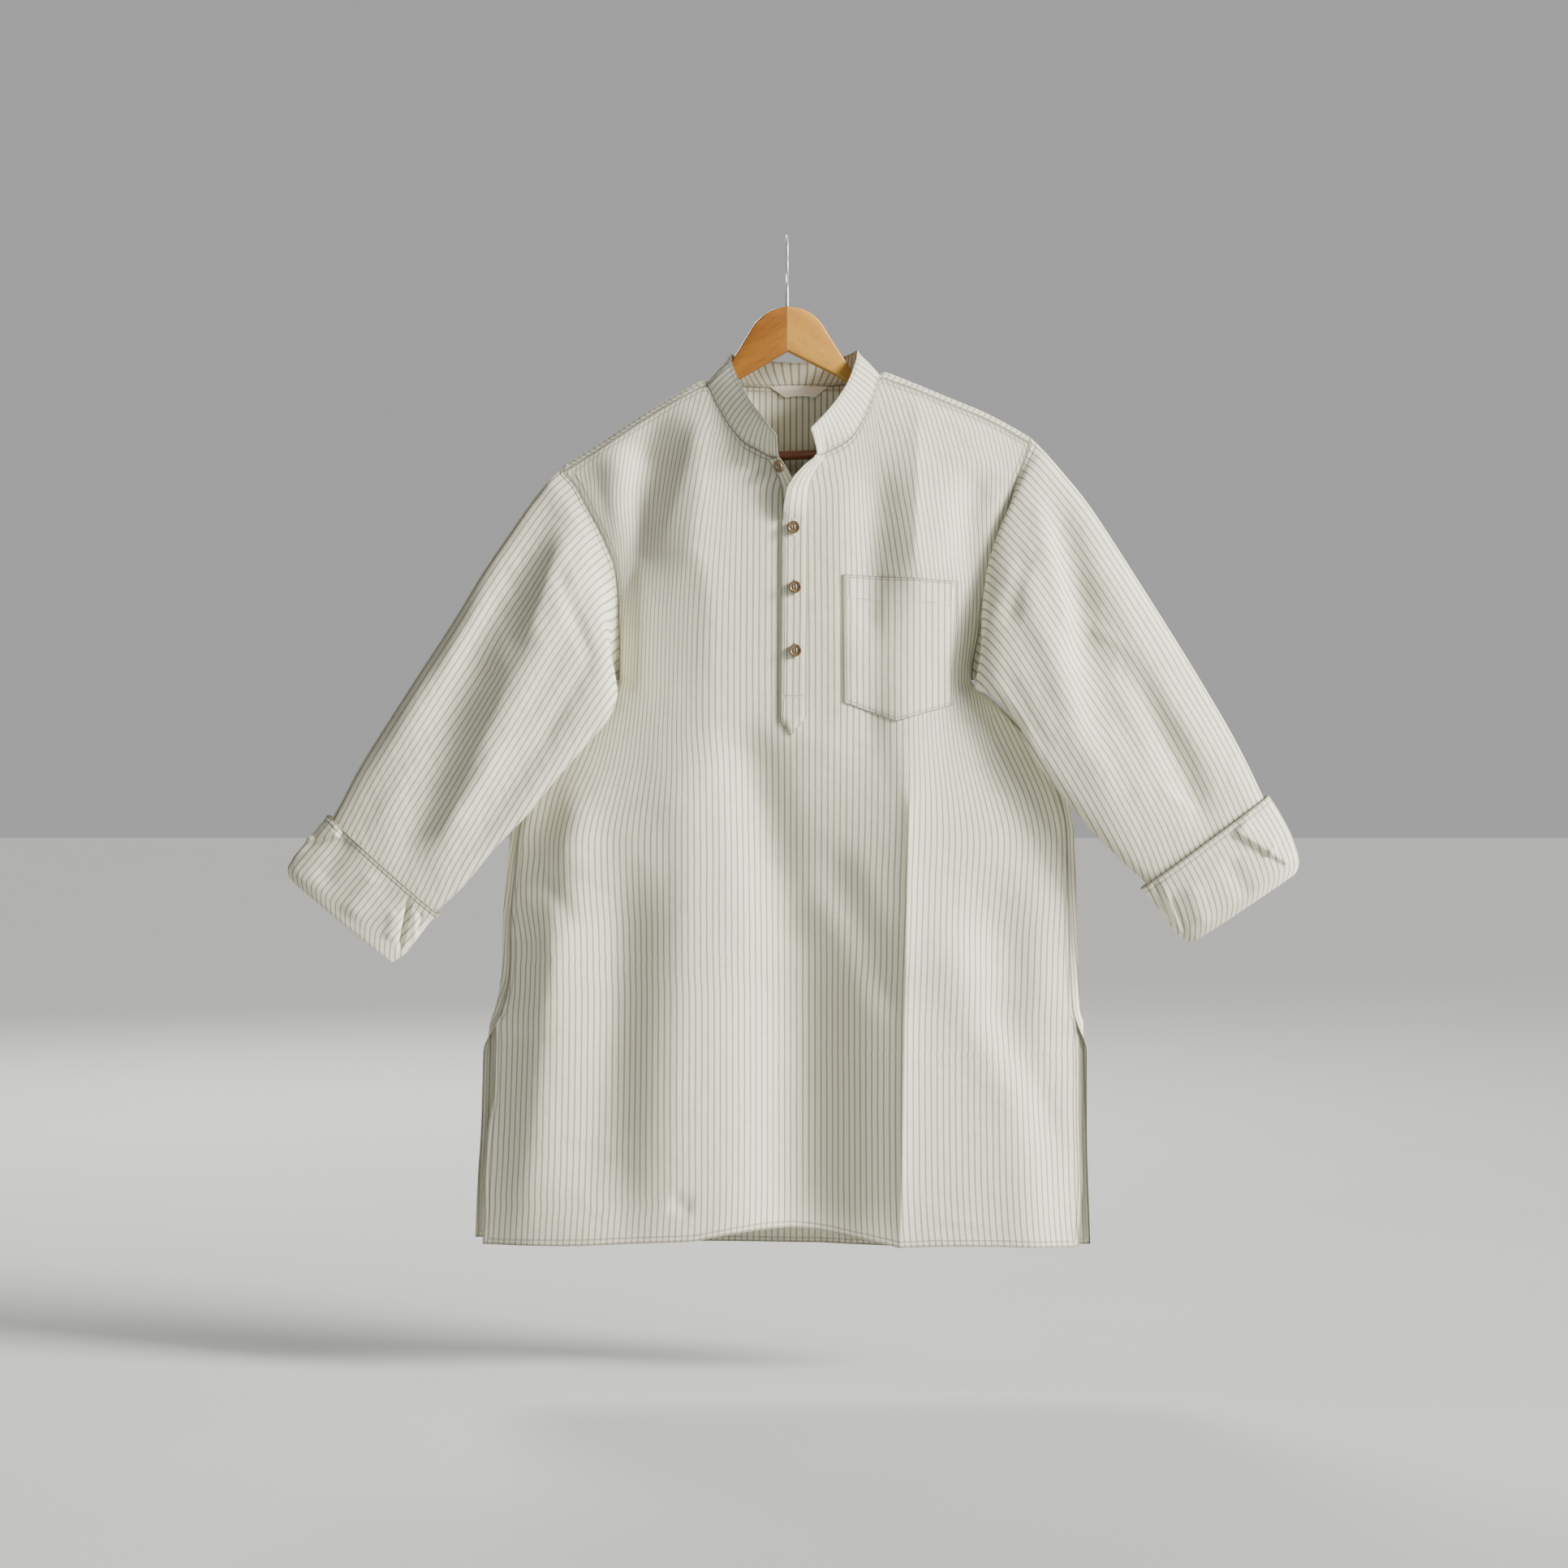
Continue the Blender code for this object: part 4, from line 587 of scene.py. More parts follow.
def flipped(quad):
    """The same quad seen from its other side, still cut along the same corner."""
    return (quad[0], quad[3], quad[2], quad[1])


def sleeve_ring(section, shares, toward_body):
    """One ring of a sleeve: shares run 1 at the underarm line, 0 at the outer line, and back."""
    outer = np.array([section.outer_x, section.outer_z])
    inner = np.array([section.inner_x, section.inner_z])
    run = inner - outer
    side = np.array([-run[1], run[0]]) / np.linalg.norm(run)
    side = side if side[0] * toward_body > 0 else -side
    points = []
    for share, front in shares:
        flat = outer + run * share + side * section.bow * math.sin(math.pi * share)
        middle = mix(section.outer_y, section.inner_y, share)
        swell = math.sqrt(max(4 * share * (1 - share), 0.0)) ** 0.8
        fold = fold_height(flat[0], flat[1], SLEEVE_FOLDS) * swell * (1 if front else -0.6)
        y = middle - section.front * swell - fold if front else middle + section.back * swell - fold
        points.append((flat[0], y, flat[1]))
    return points


def ring_shares(ring, top):
    """Where the points of an armhole ring fall between its underarm (first) and its top."""
    steps = np.linalg.norm(np.diff(np.vstack([ring, ring[:1]]), axis=0), axis=1)
    run = np.concatenate([[0], np.cumsum(steps)])
    half = run[top]
    shares = []
    for index in range(len(ring)):
        if index <= top:
            part = run[index] / half
            shares.append(((1 + math.cos(math.pi * part)) / 2, True))
        else:
            part = (run[index] - half) / (run[-1] - half)
            shares.append(((1 - math.cos(math.pi * part)) / 2, False))
    return shares


def bulge_out(row):
    """Outward directions round the neck."""
    away = (row - COLLAR_CENTRE) * np.array([1, 1, 0])
    return unit(away)


def strip_point(share, z):
    """A point on the middle surface of the under strip."""
    x = mix(opening("strip", z), opening("under", z), share)
    return np.array([x, front_y(x, z) - share * opening("under_rise", z) - LAYER, z])


def hook_path():
    """Stem, neck bend and open loop, in the Y-Z plane."""
    radius = HOOK_INNER_RADIUS + HOOK_WIRE / 2
    centre = -HOOK_INNER_RADIUS
    foot = arm_y(0)
    path = [(0, foot, WOOD_TOP_Z + SEAM_GAP), (0, foot, -62), (0, foot, STEM_TOP_Z)]
    path += [(0, foot + 1.4, -50.5), (0, foot + 6, -46.2), (0, foot + 12.4, -42.3)]
    for step in range(25):
        angle = math.radians(-62 + step * 262 / 24)
        path.append((0, radius * math.cos(angle), centre + radius * math.sin(angle)))
    return path


def arm_stations(side):
    """Stations along one arm, from the middle to the tip: place, top and underside."""
    tip = LEFT_TIP_X + 11 if side < 0 else RIGHT_TIP_X - 12
    tilt = HANGER_TILT * side
    heel = bar_end(side)
    stations = []
    for point in HUMP:
        x = side * max(point.x, SEAM_GAP / 2)
        stations.append((x, point.z + tilt * point.x * 0.9, along(ARM_UNDER, point.x) + tilt * point.x))
    outer = [LEFT_NECK_X, -110, -138, -160, heel + HEEL_STEP, heel - HEEL_STEP, -205, tip]
    if side > 0:
        outer = [RIGHT_NECK_X, 110, 138, 164, heel - HEEL_STEP, heel + HEEL_STEP, 224, tip]
    for x in outer:
        top = along(RIDGE, x) - ARM_DROP - NECK_DIP * (1 - ease(112, 134, abs(x)))
        under = max(top - ARM_DEPTH, bar_height(x) + BAR_DIAMETER / 2 + 1.5)
        if abs(x) > abs(heel):
            under = min(bar_height(x) - 9, top - ARM_DEPTH)
        stations.append((x, top, under))
    return stations


def bar_end(side):
    """Where the trouser bar meets an arm."""
    return LEFT_TIP_X + BAR_INSET if side < 0 else RIGHT_TIP_X - BAR_INSET


def bar_height(x):
    """Height of the trouser bar, which tilts with the hanger."""
    return BAR_DROP_Z + HANGER_TILT * x


# Finer cloth
FINE = 7
SLEEVE_FINE = 6
SHELL = 0.6
SATIN_THICKNESS = 0.4
STRIPE_PITCH = 6.3
PLACKET_BOX_ROW = 7
PLACKET_MIDDLE = 8
POCKET_HEM = 24.0
TUCK_EDGE = 2.0
RELAX_PASSES = 400
CUFF_STEPS = 220

# Millimetres of cloth in one unit of the stripe map
MAP_UNIT = 100.0

# The stripes: upright between two places, and leaning toward where the armholes were cut at the edges
STRAIGHT_LEFT_X = -92
STRAIGHT_RIGHT_X = 120
CUT_LEFT_X = -236
CUT_RIGHT_X = 252
SHEAR = 0.6

# The seam attribute: its value away from any seam, where a sewn groove lies, and its rate at narrow edges
NO_SEAM = 90.0
GROOVE = 5.5
NARROW = 1.8

# Corners round a button, and the radius of its thread
BUTTON_SIDES = 56
THREAD_RADIUS = 0.2

# Stitches in millimetres: along the seams, across the pocket's corners and round the buttonholes
Stitch = namedtuple("Stitch", "pitch length thread")
TOPSTITCH = Stitch(3.1, 2.3, 0.34)
BAR_STITCH = Stitch(0.7, 0.8, 0.6)
HOLE_STITCH = Stitch(0.45, 0.62, 0.9)
STITCH_LIFT = 0.4

# Distances of the stitch lines from the edges of their cloth
HEM_LINE = 4.0
SLIT_LINE = 3.6
EDGE_LINE = 1.6
SIDE_LINE = 6.0
ARMHOLE_LINE = 5.0
SHOULDER_LINE = 6.5
NECK_LINE = 2.2
COLLAR_LINE = 2.4
STRIP_LINE = 2.0
PLACKET_LINE = 2.8
POCKET_LINE = 2.9
CORNER_LINES = (7.0, 7.9)
CUFF_LINES = (3.0, 9.0)

# Buttonholes: half their height, half their width, half a closing bar, and how far they stand out
HOLE_HALF = 8.2
HOLE_SIDE = 0.75
HOLE_BAR = 1.1
HOLE_LIFT = 0.55

Tuck = namedtuple("Tuck", "x0 z0 x1 z1 width height")

# Smaller creases that the solids leave out
FRONT_CREASES = table(Fold, [
    (133, -150, 123, -560, 9, 3.0, 0.3), (123, -500, 113, -1060, 8, 4.5, 0.25),
    (92, -190, 88, -560, 24, -5, 1), (-45, -490, 10, -740, 30, -11, 1),
    (14, -690, 18, -1060, 50, -19, 1), (-212, -520, -224, -650, 24, 7, 1),
    (-84, -170, -121, -620, 18, 4, 0.5), (-121, -560, -121, -1060, 16, -1.5, 0.7),
    (-30, -540, -12, -1060, 34, -4, 1), (38, -620, 116, -790, 20, -5, 1),
    (193, -752, 293, -950, 20, -7, 1), (150, -700, 250, -900, 26, 5, 1),
    (-222, -660, -296, -1000, 20, 6, 1), (-170, -620, -165, -1040, 26, -5, 1),
    (-100, -190, -172, -372, 12, -3, 1), (-86, -178, -140, -345, 10, 3.5, 0.6),
    (-206, -245, -183, -345, 8, 3.5, 1), (-195, -240, -172, -340, 7, -3, 1),
    (-266, -600, -214, -706, 10, -3.5, 1), (-276, -650, -236, -735, 9, 3, 1),
    (-118, -975, -96, -985, 9, -3, 1), (130, -328, 135, -350, 3.5, 3.5, 0.6),
    (96, -378, 122, -386, 4, -1.6, 1), (205, -330, 190, -440, 12, -4, 1),
    (-70, -585, -20, -588, 3, 1.0, 1), (-150, -735, 0, -728, 3, 0.9, 1),
    (20, -822, 140, -832, 3, 1.0, 1), (-240, -905, -150, -925, 4, 1.2, 1),
    (150, -996, 205, -998, 3, 1.1, 1), (-40, -500, 60, -520, 16, 2.0, 1)])
BACK_CREASES = table(Fold, [
    (-118, -560, -118, -1060, 9, 3.5, 0.3), (118, -170, 116, -1060, 9, 4, 0.3),
    (-60, -600, -90, -1040, 30, -6, 1), (60, -640, 90, -1040, 28, 5, 1),
    (-190, -690, -280, -980, 20, -6, 1), (200, -680, 290, -960, 20, -6, 1),
    (-90, -180, -150, -400, 16, -5, 1), (95, -175, 160, -400, 16, -5, 1),
    (-200, -250, -180, -400, 10, 4, 1), (212, -230, 190, -400, 10, 4, 1),
    (-40, -330, 60, -345, 14, -2.5, 1), (-120, -700, 20, -712, 4, 1.2, 1),
    (40, -880, 160, -868, 4, 1.2, 1)])
SLEEVE_CREASES = table(Fold, [
    (-232, -255, -292, -410, 20, -4, 1), (-292, -400, -389, -650, 18, -6, 1),
    (-220, -300, -262, -420, 10, 5, 1), (-262, -420, -360, -640, 12, 5, 0.7),
    (-232, -334, -195, -437, 6, -4, 1), (-300, -360, -350, -450, 9, 4, 1),
    (-190, -420, -250, -520, 9, -4, 1), (-340, -480, -420, -610, 9, 3.5, 0.7),
    (-285, -520, -345, -610, 8, 3.5, 1), (-300, -330, -250, -380, 4, -1.6, 1),
    (-330, -420, -285, -455, 4, -1.6, 1), (-280, -585, -325, -600, 4, 1.8, 1),
    (275, -240, 311, -547, 18, -6, 1), (355, -420, 421, -590, 20, -4.5, 1),
    (250, -260, 285, -420, 10, 5, 1), (290, -430, 370, -600, 10, 5, 0.7),
    (215, -440, 262, -530, 9, -4, 1), (330, -330, 400, -450, 9, 4, 1), (400, -470, 470, -585, 9, 4, 0.7),
    (240, -320, 222, -400, 8, -3.5, 1), (300, -395, 350, -425, 4, 1.6, 1),
    (370, -560, 410, -585, 4, 1.8, 1)])
LEFT_CUFF_CREASES = table(Fold, [
    (-378.5, -671, -389.5, -724, 2.4, -6, 1), (-372, -682, -374.5, -716, 3.0, 3.2, 0.6),
    (-366, -684, -371, -708, 2.2, -2.5, 1), (-392, -682, -399, -712, 6, 2.2, 1),
    (-436, -606, -470, -655, 12, -3.0, 1), (-410, -645, -440, -690, 12, 2.4, 1),
    (-467, -594, -488, -612, 3.0, 1.8, 1)])
RIGHT_CUFF_CREASES = table(Fold, [
    (366, -650, 387, -706, 2.4, -5, 1), (375, -655, 396, -712, 3.0, 3.0, 0.6),
    (383, -668, 400, -706, 2.2, -2.2, 1), (402, -655, 418, -700, 10, 2.4, 1),
    (440, -630, 462, -672, 10, -2.6, 1)])
LEFT_CUFF_TUCKS = table(Tuck, [(-486, -614, -446, -607, 12, 5.5), (-500, -633, -474, -611, 10, 4.5)])
RIGHT_CUFF_TUCKS = table(Tuck, [(446, -602, 486, -627, 18, 5.5), (480, -623, 503, -637, 12, 3.5)])


def slopes(values):
    """Slopes of a smooth curve through rows of values that never overshoots them."""
    step = np.diff(values, axis=0)
    before = step[:-1]
    after = step[1:]
    same = before * after > 0
    total = np.where(same, before + after, 1.0)
    inner = np.where(same, 2 * before * after / total, 0.0)
    return np.concatenate([step[:1], inner, step[-1:]])


def smooth(values, factor):
    """The same curve with factor times as many steps along the first axis."""
    values = np.asarray(values, dtype=float)
    slope = slopes(values)
    pieces = []
    for part in np.arange(factor) / factor:
        square = part * part
        cube = square * part
        low = (2 * cube - 3 * square + 1) * values[:-1] + (cube - 2 * square + part) * slope[:-1]
        high = (3 * square - 2 * cube) * values[1:] + (cube - square) * slope[1:]
        pieces.append(low + high)
    fine = np.stack(pieces, axis=1).reshape((-1,) + values.shape[1:])
    return np.concatenate([fine, values[-1:]])


def refined(grid, solid, surface):
    """A finer grid on the creased surface, keeping what the coarse grid adds to the solid's own."""
    extra = grid.copy()
    extra[..., 1] -= solid(grid[..., 0], grid[..., 2])
    fine = smooth(smooth(extra, FINE).swapaxes(0, 1), FINE).swapaxes(0, 1)
    fine[..., 1] += surface(fine[..., 0], fine[..., 2])
    return fine


def grid_normals(points):
    """Unit normals of a grid of points."""
    return unit(np.cross(np.gradient(points, axis=1), np.gradient(points, axis=0)))


def arc_length(points, axis):
    """Distance run along one axis of a grid of points, from its first row or column."""
    steps = np.linalg.norm(np.diff(points, axis=axis), axis=-1)
    start = np.zeros_like(steps.take([0], axis=axis))
    return np.concatenate([start, np.cumsum(steps, axis=axis)], axis=axis)


class Cloth:
    """A thin cloth shell on a grid of points, with the distance across and along its stripes."""

    def __init__(self, name, points, across, length, faces="front"):
        self.name = name
        self.points = np.array(points, dtype=float)
        self.across = np.array(across, dtype=float)
        self.length = np.array(length, dtype=float)
        self.faces = faces
        self.seam = np.full(self.across.shape, NO_SEAM)
        self.hole = set()
        self.joined = {}
        self.cut = []

    def away(self):
        """Roughly outward directions, to tell the face of the cloth from its back."""
        if self.faces == "tube":
            return self.points - self.points.mean(axis=1, keepdims=True)
        if self.faces == "neck":
            return (self.points - COLLAR_CENTRE) * np.array([1, 1, 0])
        return np.array([0, -1 if self.faces == "front" else 1, 0])

    def normals(self):
        """Outward normals, worked out apart on each side of a cut between columns."""
        points = self.points
        if self.faces == "tube":
            wrapped = np.concatenate([points[:, -2:-1], points, points[:, 1:2]], axis=1)
            normals = grid_normals(wrapped)[:, 1:-1]
        else:
            ends = [0] + self.cut + [points.shape[1]]
            normals = np.concatenate([grid_normals(points[:, a:b]) for a, b in zip(ends, ends[1:])], axis=1)
        if (normals * self.away()).sum() < 0:
            normals = -normals
        flat = normals.reshape(-1, 3)
        for other, kept in self.joined.items():
            flat[kept] = unit(flat[kept] + flat[other])
            flat[other] = flat[kept]
        return flat.reshape(normals.shape)

    def close_tube(self):
        """The last column of a tube is its first one again."""
        rows, columns = self.points.shape[:2]
        self.joined = {r * columns + columns - 1: r * columns for r in range(rows)}

    def build(self, look, thickness=SHELL, slot="striped_cotton"):
        """Both faces and the rim of the shell as one closed mesh."""
        rows, columns = self.points.shape[:2]
        flat = self.points.reshape(-1, 3)
        normals = self.normals().reshape(-1, 3)
        quads = [q for q in grid_quads(rows, columns) if q not in self.hole]
        ids = np.array(quads)
        turned = np.cross(flat[ids[:, 2]] - flat[ids[:, 0]], flat[ids[:, 3]] - flat[ids[:, 1]])
        if (turned * normals[ids[:, 0]]).sum() < 0:
            quads = [flipped(q) for q in quads]
        kept = [self.joined.get(i, i) for i in range(len(flat))]
        used = sorted({kept[i] for q in quads for i in q})
        number = {old: new for new, old in enumerate(used)}
        count = len(used)
        faces = []
        places = []
        edges = {}
        for quad in quads:
            turned = [number[kept[i]] for i in quad]
            faces.append(turned)
            places.append(quad)
            faces.append([turned[i] + count for i in (0, 3, 2, 1)])
            places.append(flipped(quad))
            for k in range(4):
                edges[(turned[k - 1], turned[k])] = (quad[k - 1], quad[k])
        for (a, b), (first, second) in edges.items():
            if (b, a) not in edges:
                faces.append([b, a, a + count, b + count])
                places.append((second, first, first, second))
        half = normals[used] * thickness / 2
        points = np.concatenate([flat[used] + half, flat[used] - half]) * MM
        data = bpy.data.meshes.new(self.name)
        data.from_pydata([tuple(p) for p in points], [], faces)
        order = np.array(places).reshape(-1)
        uv = np.stack([self.across.reshape(-1)[order], self.length.reshape(-1)[order]], axis=1) / MAP_UNIT
        data.uv_layers.new(name="stripes").data.foreach_set("uv", uv.reshape(-1).astype(np.float32))
        near = np.tile(self.seam.reshape(-1)[used], 2).astype(np.float32)
        data.attributes.new("seam", "FLOAT", "POINT").data.foreach_set("value", near)
        data.update()
        data.shade_smooth()
        data.set_sharp_from_angle(angle=math.radians(60))
        return placed(self.name, data, look)

    def line(self, distance, axis, last=False):
        """A stitch line at a distance from one edge, a little proud of the face."""
        stack = np.concatenate([self.points, self.normals()], axis=-1)
        lines = stack if axis == 1 else stack.swapaxes(0, 1)
        lines = lines[:, ::-1] if last else lines
        found = []
        for line in lines:
            run = arc_length(line[:, :3], 0)
            found.append([np.interp(distance, run, line[:, k]) for k in range(6)])
        found = np.array(found)
        return found[:, :3] + unit(found[:, 3:]) * STITCH_LIFT


def in_scene(name, data):
    """A new object in the scene."""
    made = bpy.data.objects.new(name, data)
    bpy.context.scene.collection.objects.link(made)
    return made


def mesh_of(name, build):
    """The mesh of a finished build."""
    data = bpy.data.meshes.new(name)
    build.to_mesh(data)
    build.free()
    return data


def worked_out(name, made):
    """The mesh of an object with its modifiers worked out; the object itself goes."""
    bpy.context.view_layer.update()
    data = bpy.data.meshes.new_from_object(made.evaluated_get(bpy.context.evaluated_depsgraph_get()))
    data.name = name
    bpy.data.objects.remove(made)
    return data


def placed(name, data, look):
    """A finished piece of the visual model."""
    data.materials.clear()
    data.materials.append(look)
    made = in_scene(name, data)
    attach(made, "root")
    return made


def seam_distance(points, sides=True, foot=True, top=True):
    """Distance in the cloth from the nearest sewn edge of a grid."""
    across = arc_length(points, 1)
    upward = arc_length(points, 0)
    nearest = np.full(points.shape[:2], NO_SEAM)
    if sides:
        nearest = np.minimum(nearest, np.minimum(across, across[:, -1:] - across))
    if foot:
        nearest = np.minimum(nearest, upward)
    if top:
        nearest = np.minimum(nearest, upward[-1:] - upward)
    return nearest


def tuck_height(x, z, tucks):
    """Layers with a crisp edge along their line, which sink away on the left of its direction."""
    total = 0.0
    for tuck in tucks:
        run = np.array([tuck.x1 - tuck.x0, tuck.z1 - tuck.z0])
        length = np.hypot(*run)
        share = ((x - tuck.x0) * run[0] + (z - tuck.z0) * run[1]) / length**2
        aside = ((z - tuck.z0) * run[0] - (x - tuck.x0) * run[1]) / length
        shape = np.exp(-(aside / np.where(aside > 0, tuck.width, TUCK_EDGE)) ** 2)
        total = total + tuck.height * shape * ease(-0.03, 0.15, share) * (1 - ease(0.85, 1.03, share))
    return total


def slit_cap(x, z):
    """How far a panel may stand out near its free slit edges, so that both lie close there."""
    aside = np.minimum(x - level(LEFT_SIDE, z), level(RIGHT_SIDE, z) - x)
    aside = np.maximum(aside, 0)
    return 2.0 + 0.2 * aside + 0.006 * aside**2 + 60 * ease(SLIT_TOP_Z - 20, SLIT_TOP_Z + 90, z)


def capped(value, most):
    """A value that eases under its limit; near and below zero it is left as it is."""
    safe = np.maximum(value, 0.5)
    return value + (safe**-3.0 + most**-3.0) ** (-1 / 3.0) - safe


def front_surface(x, z):
    """Depth of the front panel, with its small creases too."""
    out = -front_y(x, z) + fold_height(x, z, FRONT_CREASES) * near_edge(x, z)
    return -capped(out, slit_cap(x, z))


def back_surface(x, z):
    """Depth of the back panel, with its small creases too."""
    out = back_y(x, z) + fold_height(x, z, BACK_CREASES) * near_edge(x, z)
    return capped(out, slit_cap(x, z))


def relaxed(grid):
    """Evens out the depth of a panel around the underarms, with its edges held."""
    x, z = grid[..., 0], grid[..., 2]
    aside = np.minimum(x - level(LEFT_SIDE, UNDERARM_Z), level(RIGHT_SIDE, UNDERARM_Z) - x)
    share = (1 - ease(45, 105, aside)) * (1 - ease(50, 130, abs(z - UNDERARM_Z)))
    y = grid[..., 1].copy()
    for _ in range(RELAX_PASSES):
        mean = y.copy()
        mean[1:-1, 1:-1] = (y[2:, 1:-1] + y[:-2, 1:-1] + y[1:-1, 2:] + y[1:-1, :-2]) / 4
        y = y + (mean - y) * share
    out = grid.copy()
    out[..., 1] = y
    return out


def armhole_shear(x, z):
    """Stripes beside an armhole run parallel to it, and stand upright again toward the middle."""
    low = np.clip(z, UNDERARM_Z, 0)
    fade = ease(-620, UNDERARM_Z, z)
    left = level(LEFT_SIDE, low)
    right = level(RIGHT_SIDE, low)
    from_left = np.clip((STRAIGHT_LEFT_X - x) / (STRAIGHT_LEFT_X - left), 0, 1.3) ** 1.3
    from_right = np.clip((x - STRAIGHT_RIGHT_X) / (right - STRAIGHT_RIGHT_X), 0, 1.3) ** 1.3
    return SHEAR * fade * ((CUT_LEFT_X - left) * from_left + (CUT_RIGHT_X - right) * from_right)


def stripe_place(points, middle):
    """Distance across the stripes: along each row of the cloth from a middle column."""
    run = arc_length(points, 1)
    place = run - run[:, middle:middle + 1] + points[:, middle:middle + 1, 0]
    return place + armhole_shear(points[..., 0], points[..., 2])


class Garment:
    """The fine grids of both panels."""

    def __init__(self):
        coarse = front_grid()
        slit = len(LOWER_ROWS) + SLIT_ROW
        joined = (coarse[:slit + 1, OPENING_COLUMN] + coarse[:slit + 1, OPENING_COLUMN + 1]) / 2
        coarse[:slit + 1, OPENING_COLUMN] = joined
        coarse[:slit + 1, OPENING_COLUMN + 1] = joined
        self.coarse = coarse
        self.left = relaxed(refined(coarse[:, :OPENING_COLUMN + 1], front_y, front_surface))
        self.right = relaxed(refined(coarse[:, OPENING_COLUMN + 1:], front_y, front_surface))
        self.back = relaxed(refined(back_grid(), back_y, back_surface))
        self.opening_row = slit
        self.underarm = (len(LOWER_ROWS) + UNDERARM_ROW) * FINE
        self.side_slit = LOWER_ROWS.index(SLIT_TOP_Z) * FINE

    def front_cloth(self):
        """The front panel, open above the foot of the placket and joined below it."""
        points = np.concatenate([self.left, self.right], axis=1)
        middle = self.left.shape[1] - 1
        piece = Cloth("front_cloth", points, stripe_place(points, middle), arc_length(points, 0))
        rows, columns = points.shape[:2]
        slit = self.opening_row * FINE
        below = range(slit + 1)
        piece.hole = {q for q in grid_quads(rows, columns) if q[0] % columns == middle}
        piece.joined = {r * columns + middle + 1: r * columns + middle for r in below}
        piece.cut = [middle + 1]
        outer = arc_length(points, 1)
        upward = arc_length(points, 0)
        piece.seam = np.minimum.reduce([outer, outer[:, -1:] - outer, upward, upward[-1:] - upward])
        return piece

    def back_cloth(self):
        """The back panel."""
        middle = self.back.shape[1] // 2
        across = stripe_place(self.back, middle)
        piece = Cloth("back_cloth", self.back, across, arc_length(self.back, 0), faces="back")
        piece.seam = seam_distance(self.back)
        return piece

    def armhole(self, left):
        """Armhole ring from the underarm up the front and down the back, and its top corner."""
        front = self.left[:, 0] if left else self.right[:, -1]
        back = self.back[:, 0] if left else self.back[:, -1]
        up = front[self.underarm:]
        down = back[self.underarm + 1:len(back) - 1][::-1]
        return np.vstack([up, down]), len(up) - 1 + 2 * FINE

    def neck(self):
        """Neck seam from the left end of the opening round the back to the right end."""
        left_end = int(np.argmin(abs(self.left[-1, :, 0] - LEFT_NECK_X)))
        right_end = int(np.argmin(abs(self.right[-1, :, 0] - RIGHT_NECK_X)))
        back = self.back[-1]
        inner = back[(back[:, 0] > LEFT_NECK_X + 2) & (back[:, 0] < RIGHT_NECK_X - 2)]
        return np.vstack([self.left[-1, left_end:][::-1], inner, self.right[-1, :right_end + 1][::-1]])


def stripes_round(points, top, over, shares):
    """Distance across the stripes of a tube, from its upper line to its underarm line."""
    over = unit(np.array(over, dtype=float))
    flat = points[..., [0, 2]]
    wide = (flat - flat[:, top:top + 1]) @ over
    sides = np.array([1.0 if front else -1.0 for _, front in shares])
    return wide, sides


def sleeve_cloth(garment, left):
    """One sleeve, from the panels' own armhole to the end that the cuff hides."""
    name = "left_sleeve_cloth" if left else "right_sleeve_cloth"
    ring, top = garment.armhole(left)
    shares = ring_shares(ring, top)
    sections = LEFT_SLEEVE if left else RIGHT_SLEEVE
    toward = 1 if left else -1
    rings = [ring] + [np.array(sleeve_ring(section, shares, toward)) for section in sections]
    points = smooth(np.array(rings), SLEEVE_FINE)
    points = np.concatenate([points, points[:, :1]], axis=1)
    first, last = sections[0], sections[6]
    over = (first.outer_z - last.outer_z, last.outer_x - first.outer_x)
    over = over if left else (-over[0], -over[1])
    wide, sides = stripes_round(points, top, over, shares + [(1.0, False)])
    piece = Cloth(name, points, sides * np.maximum(wide, 0) * 1.03, arc_length(points, 0), faces="tube")
    piece.close_tube()
    around = arc_length(points, 1)
    piece.seam = np.minimum(arc_length(points, 0), np.minimum(around, around[:, -1:] - around) + 2)
    part = np.clip(abs(wide) / (abs(wide).max(axis=1, keepdims=True) + 1e-6), 0, 1)
    lift = fold_height(points[..., 0], points[..., 2], SLEEVE_CREASES)
    lift = lift * np.sqrt(np.sin(np.pi * part)) * np.where(sides > 0, 1, 0.7)
    piece.points = points + piece.normals() * (lift * ease(0, 30, piece.length))[..., None]
    return piece


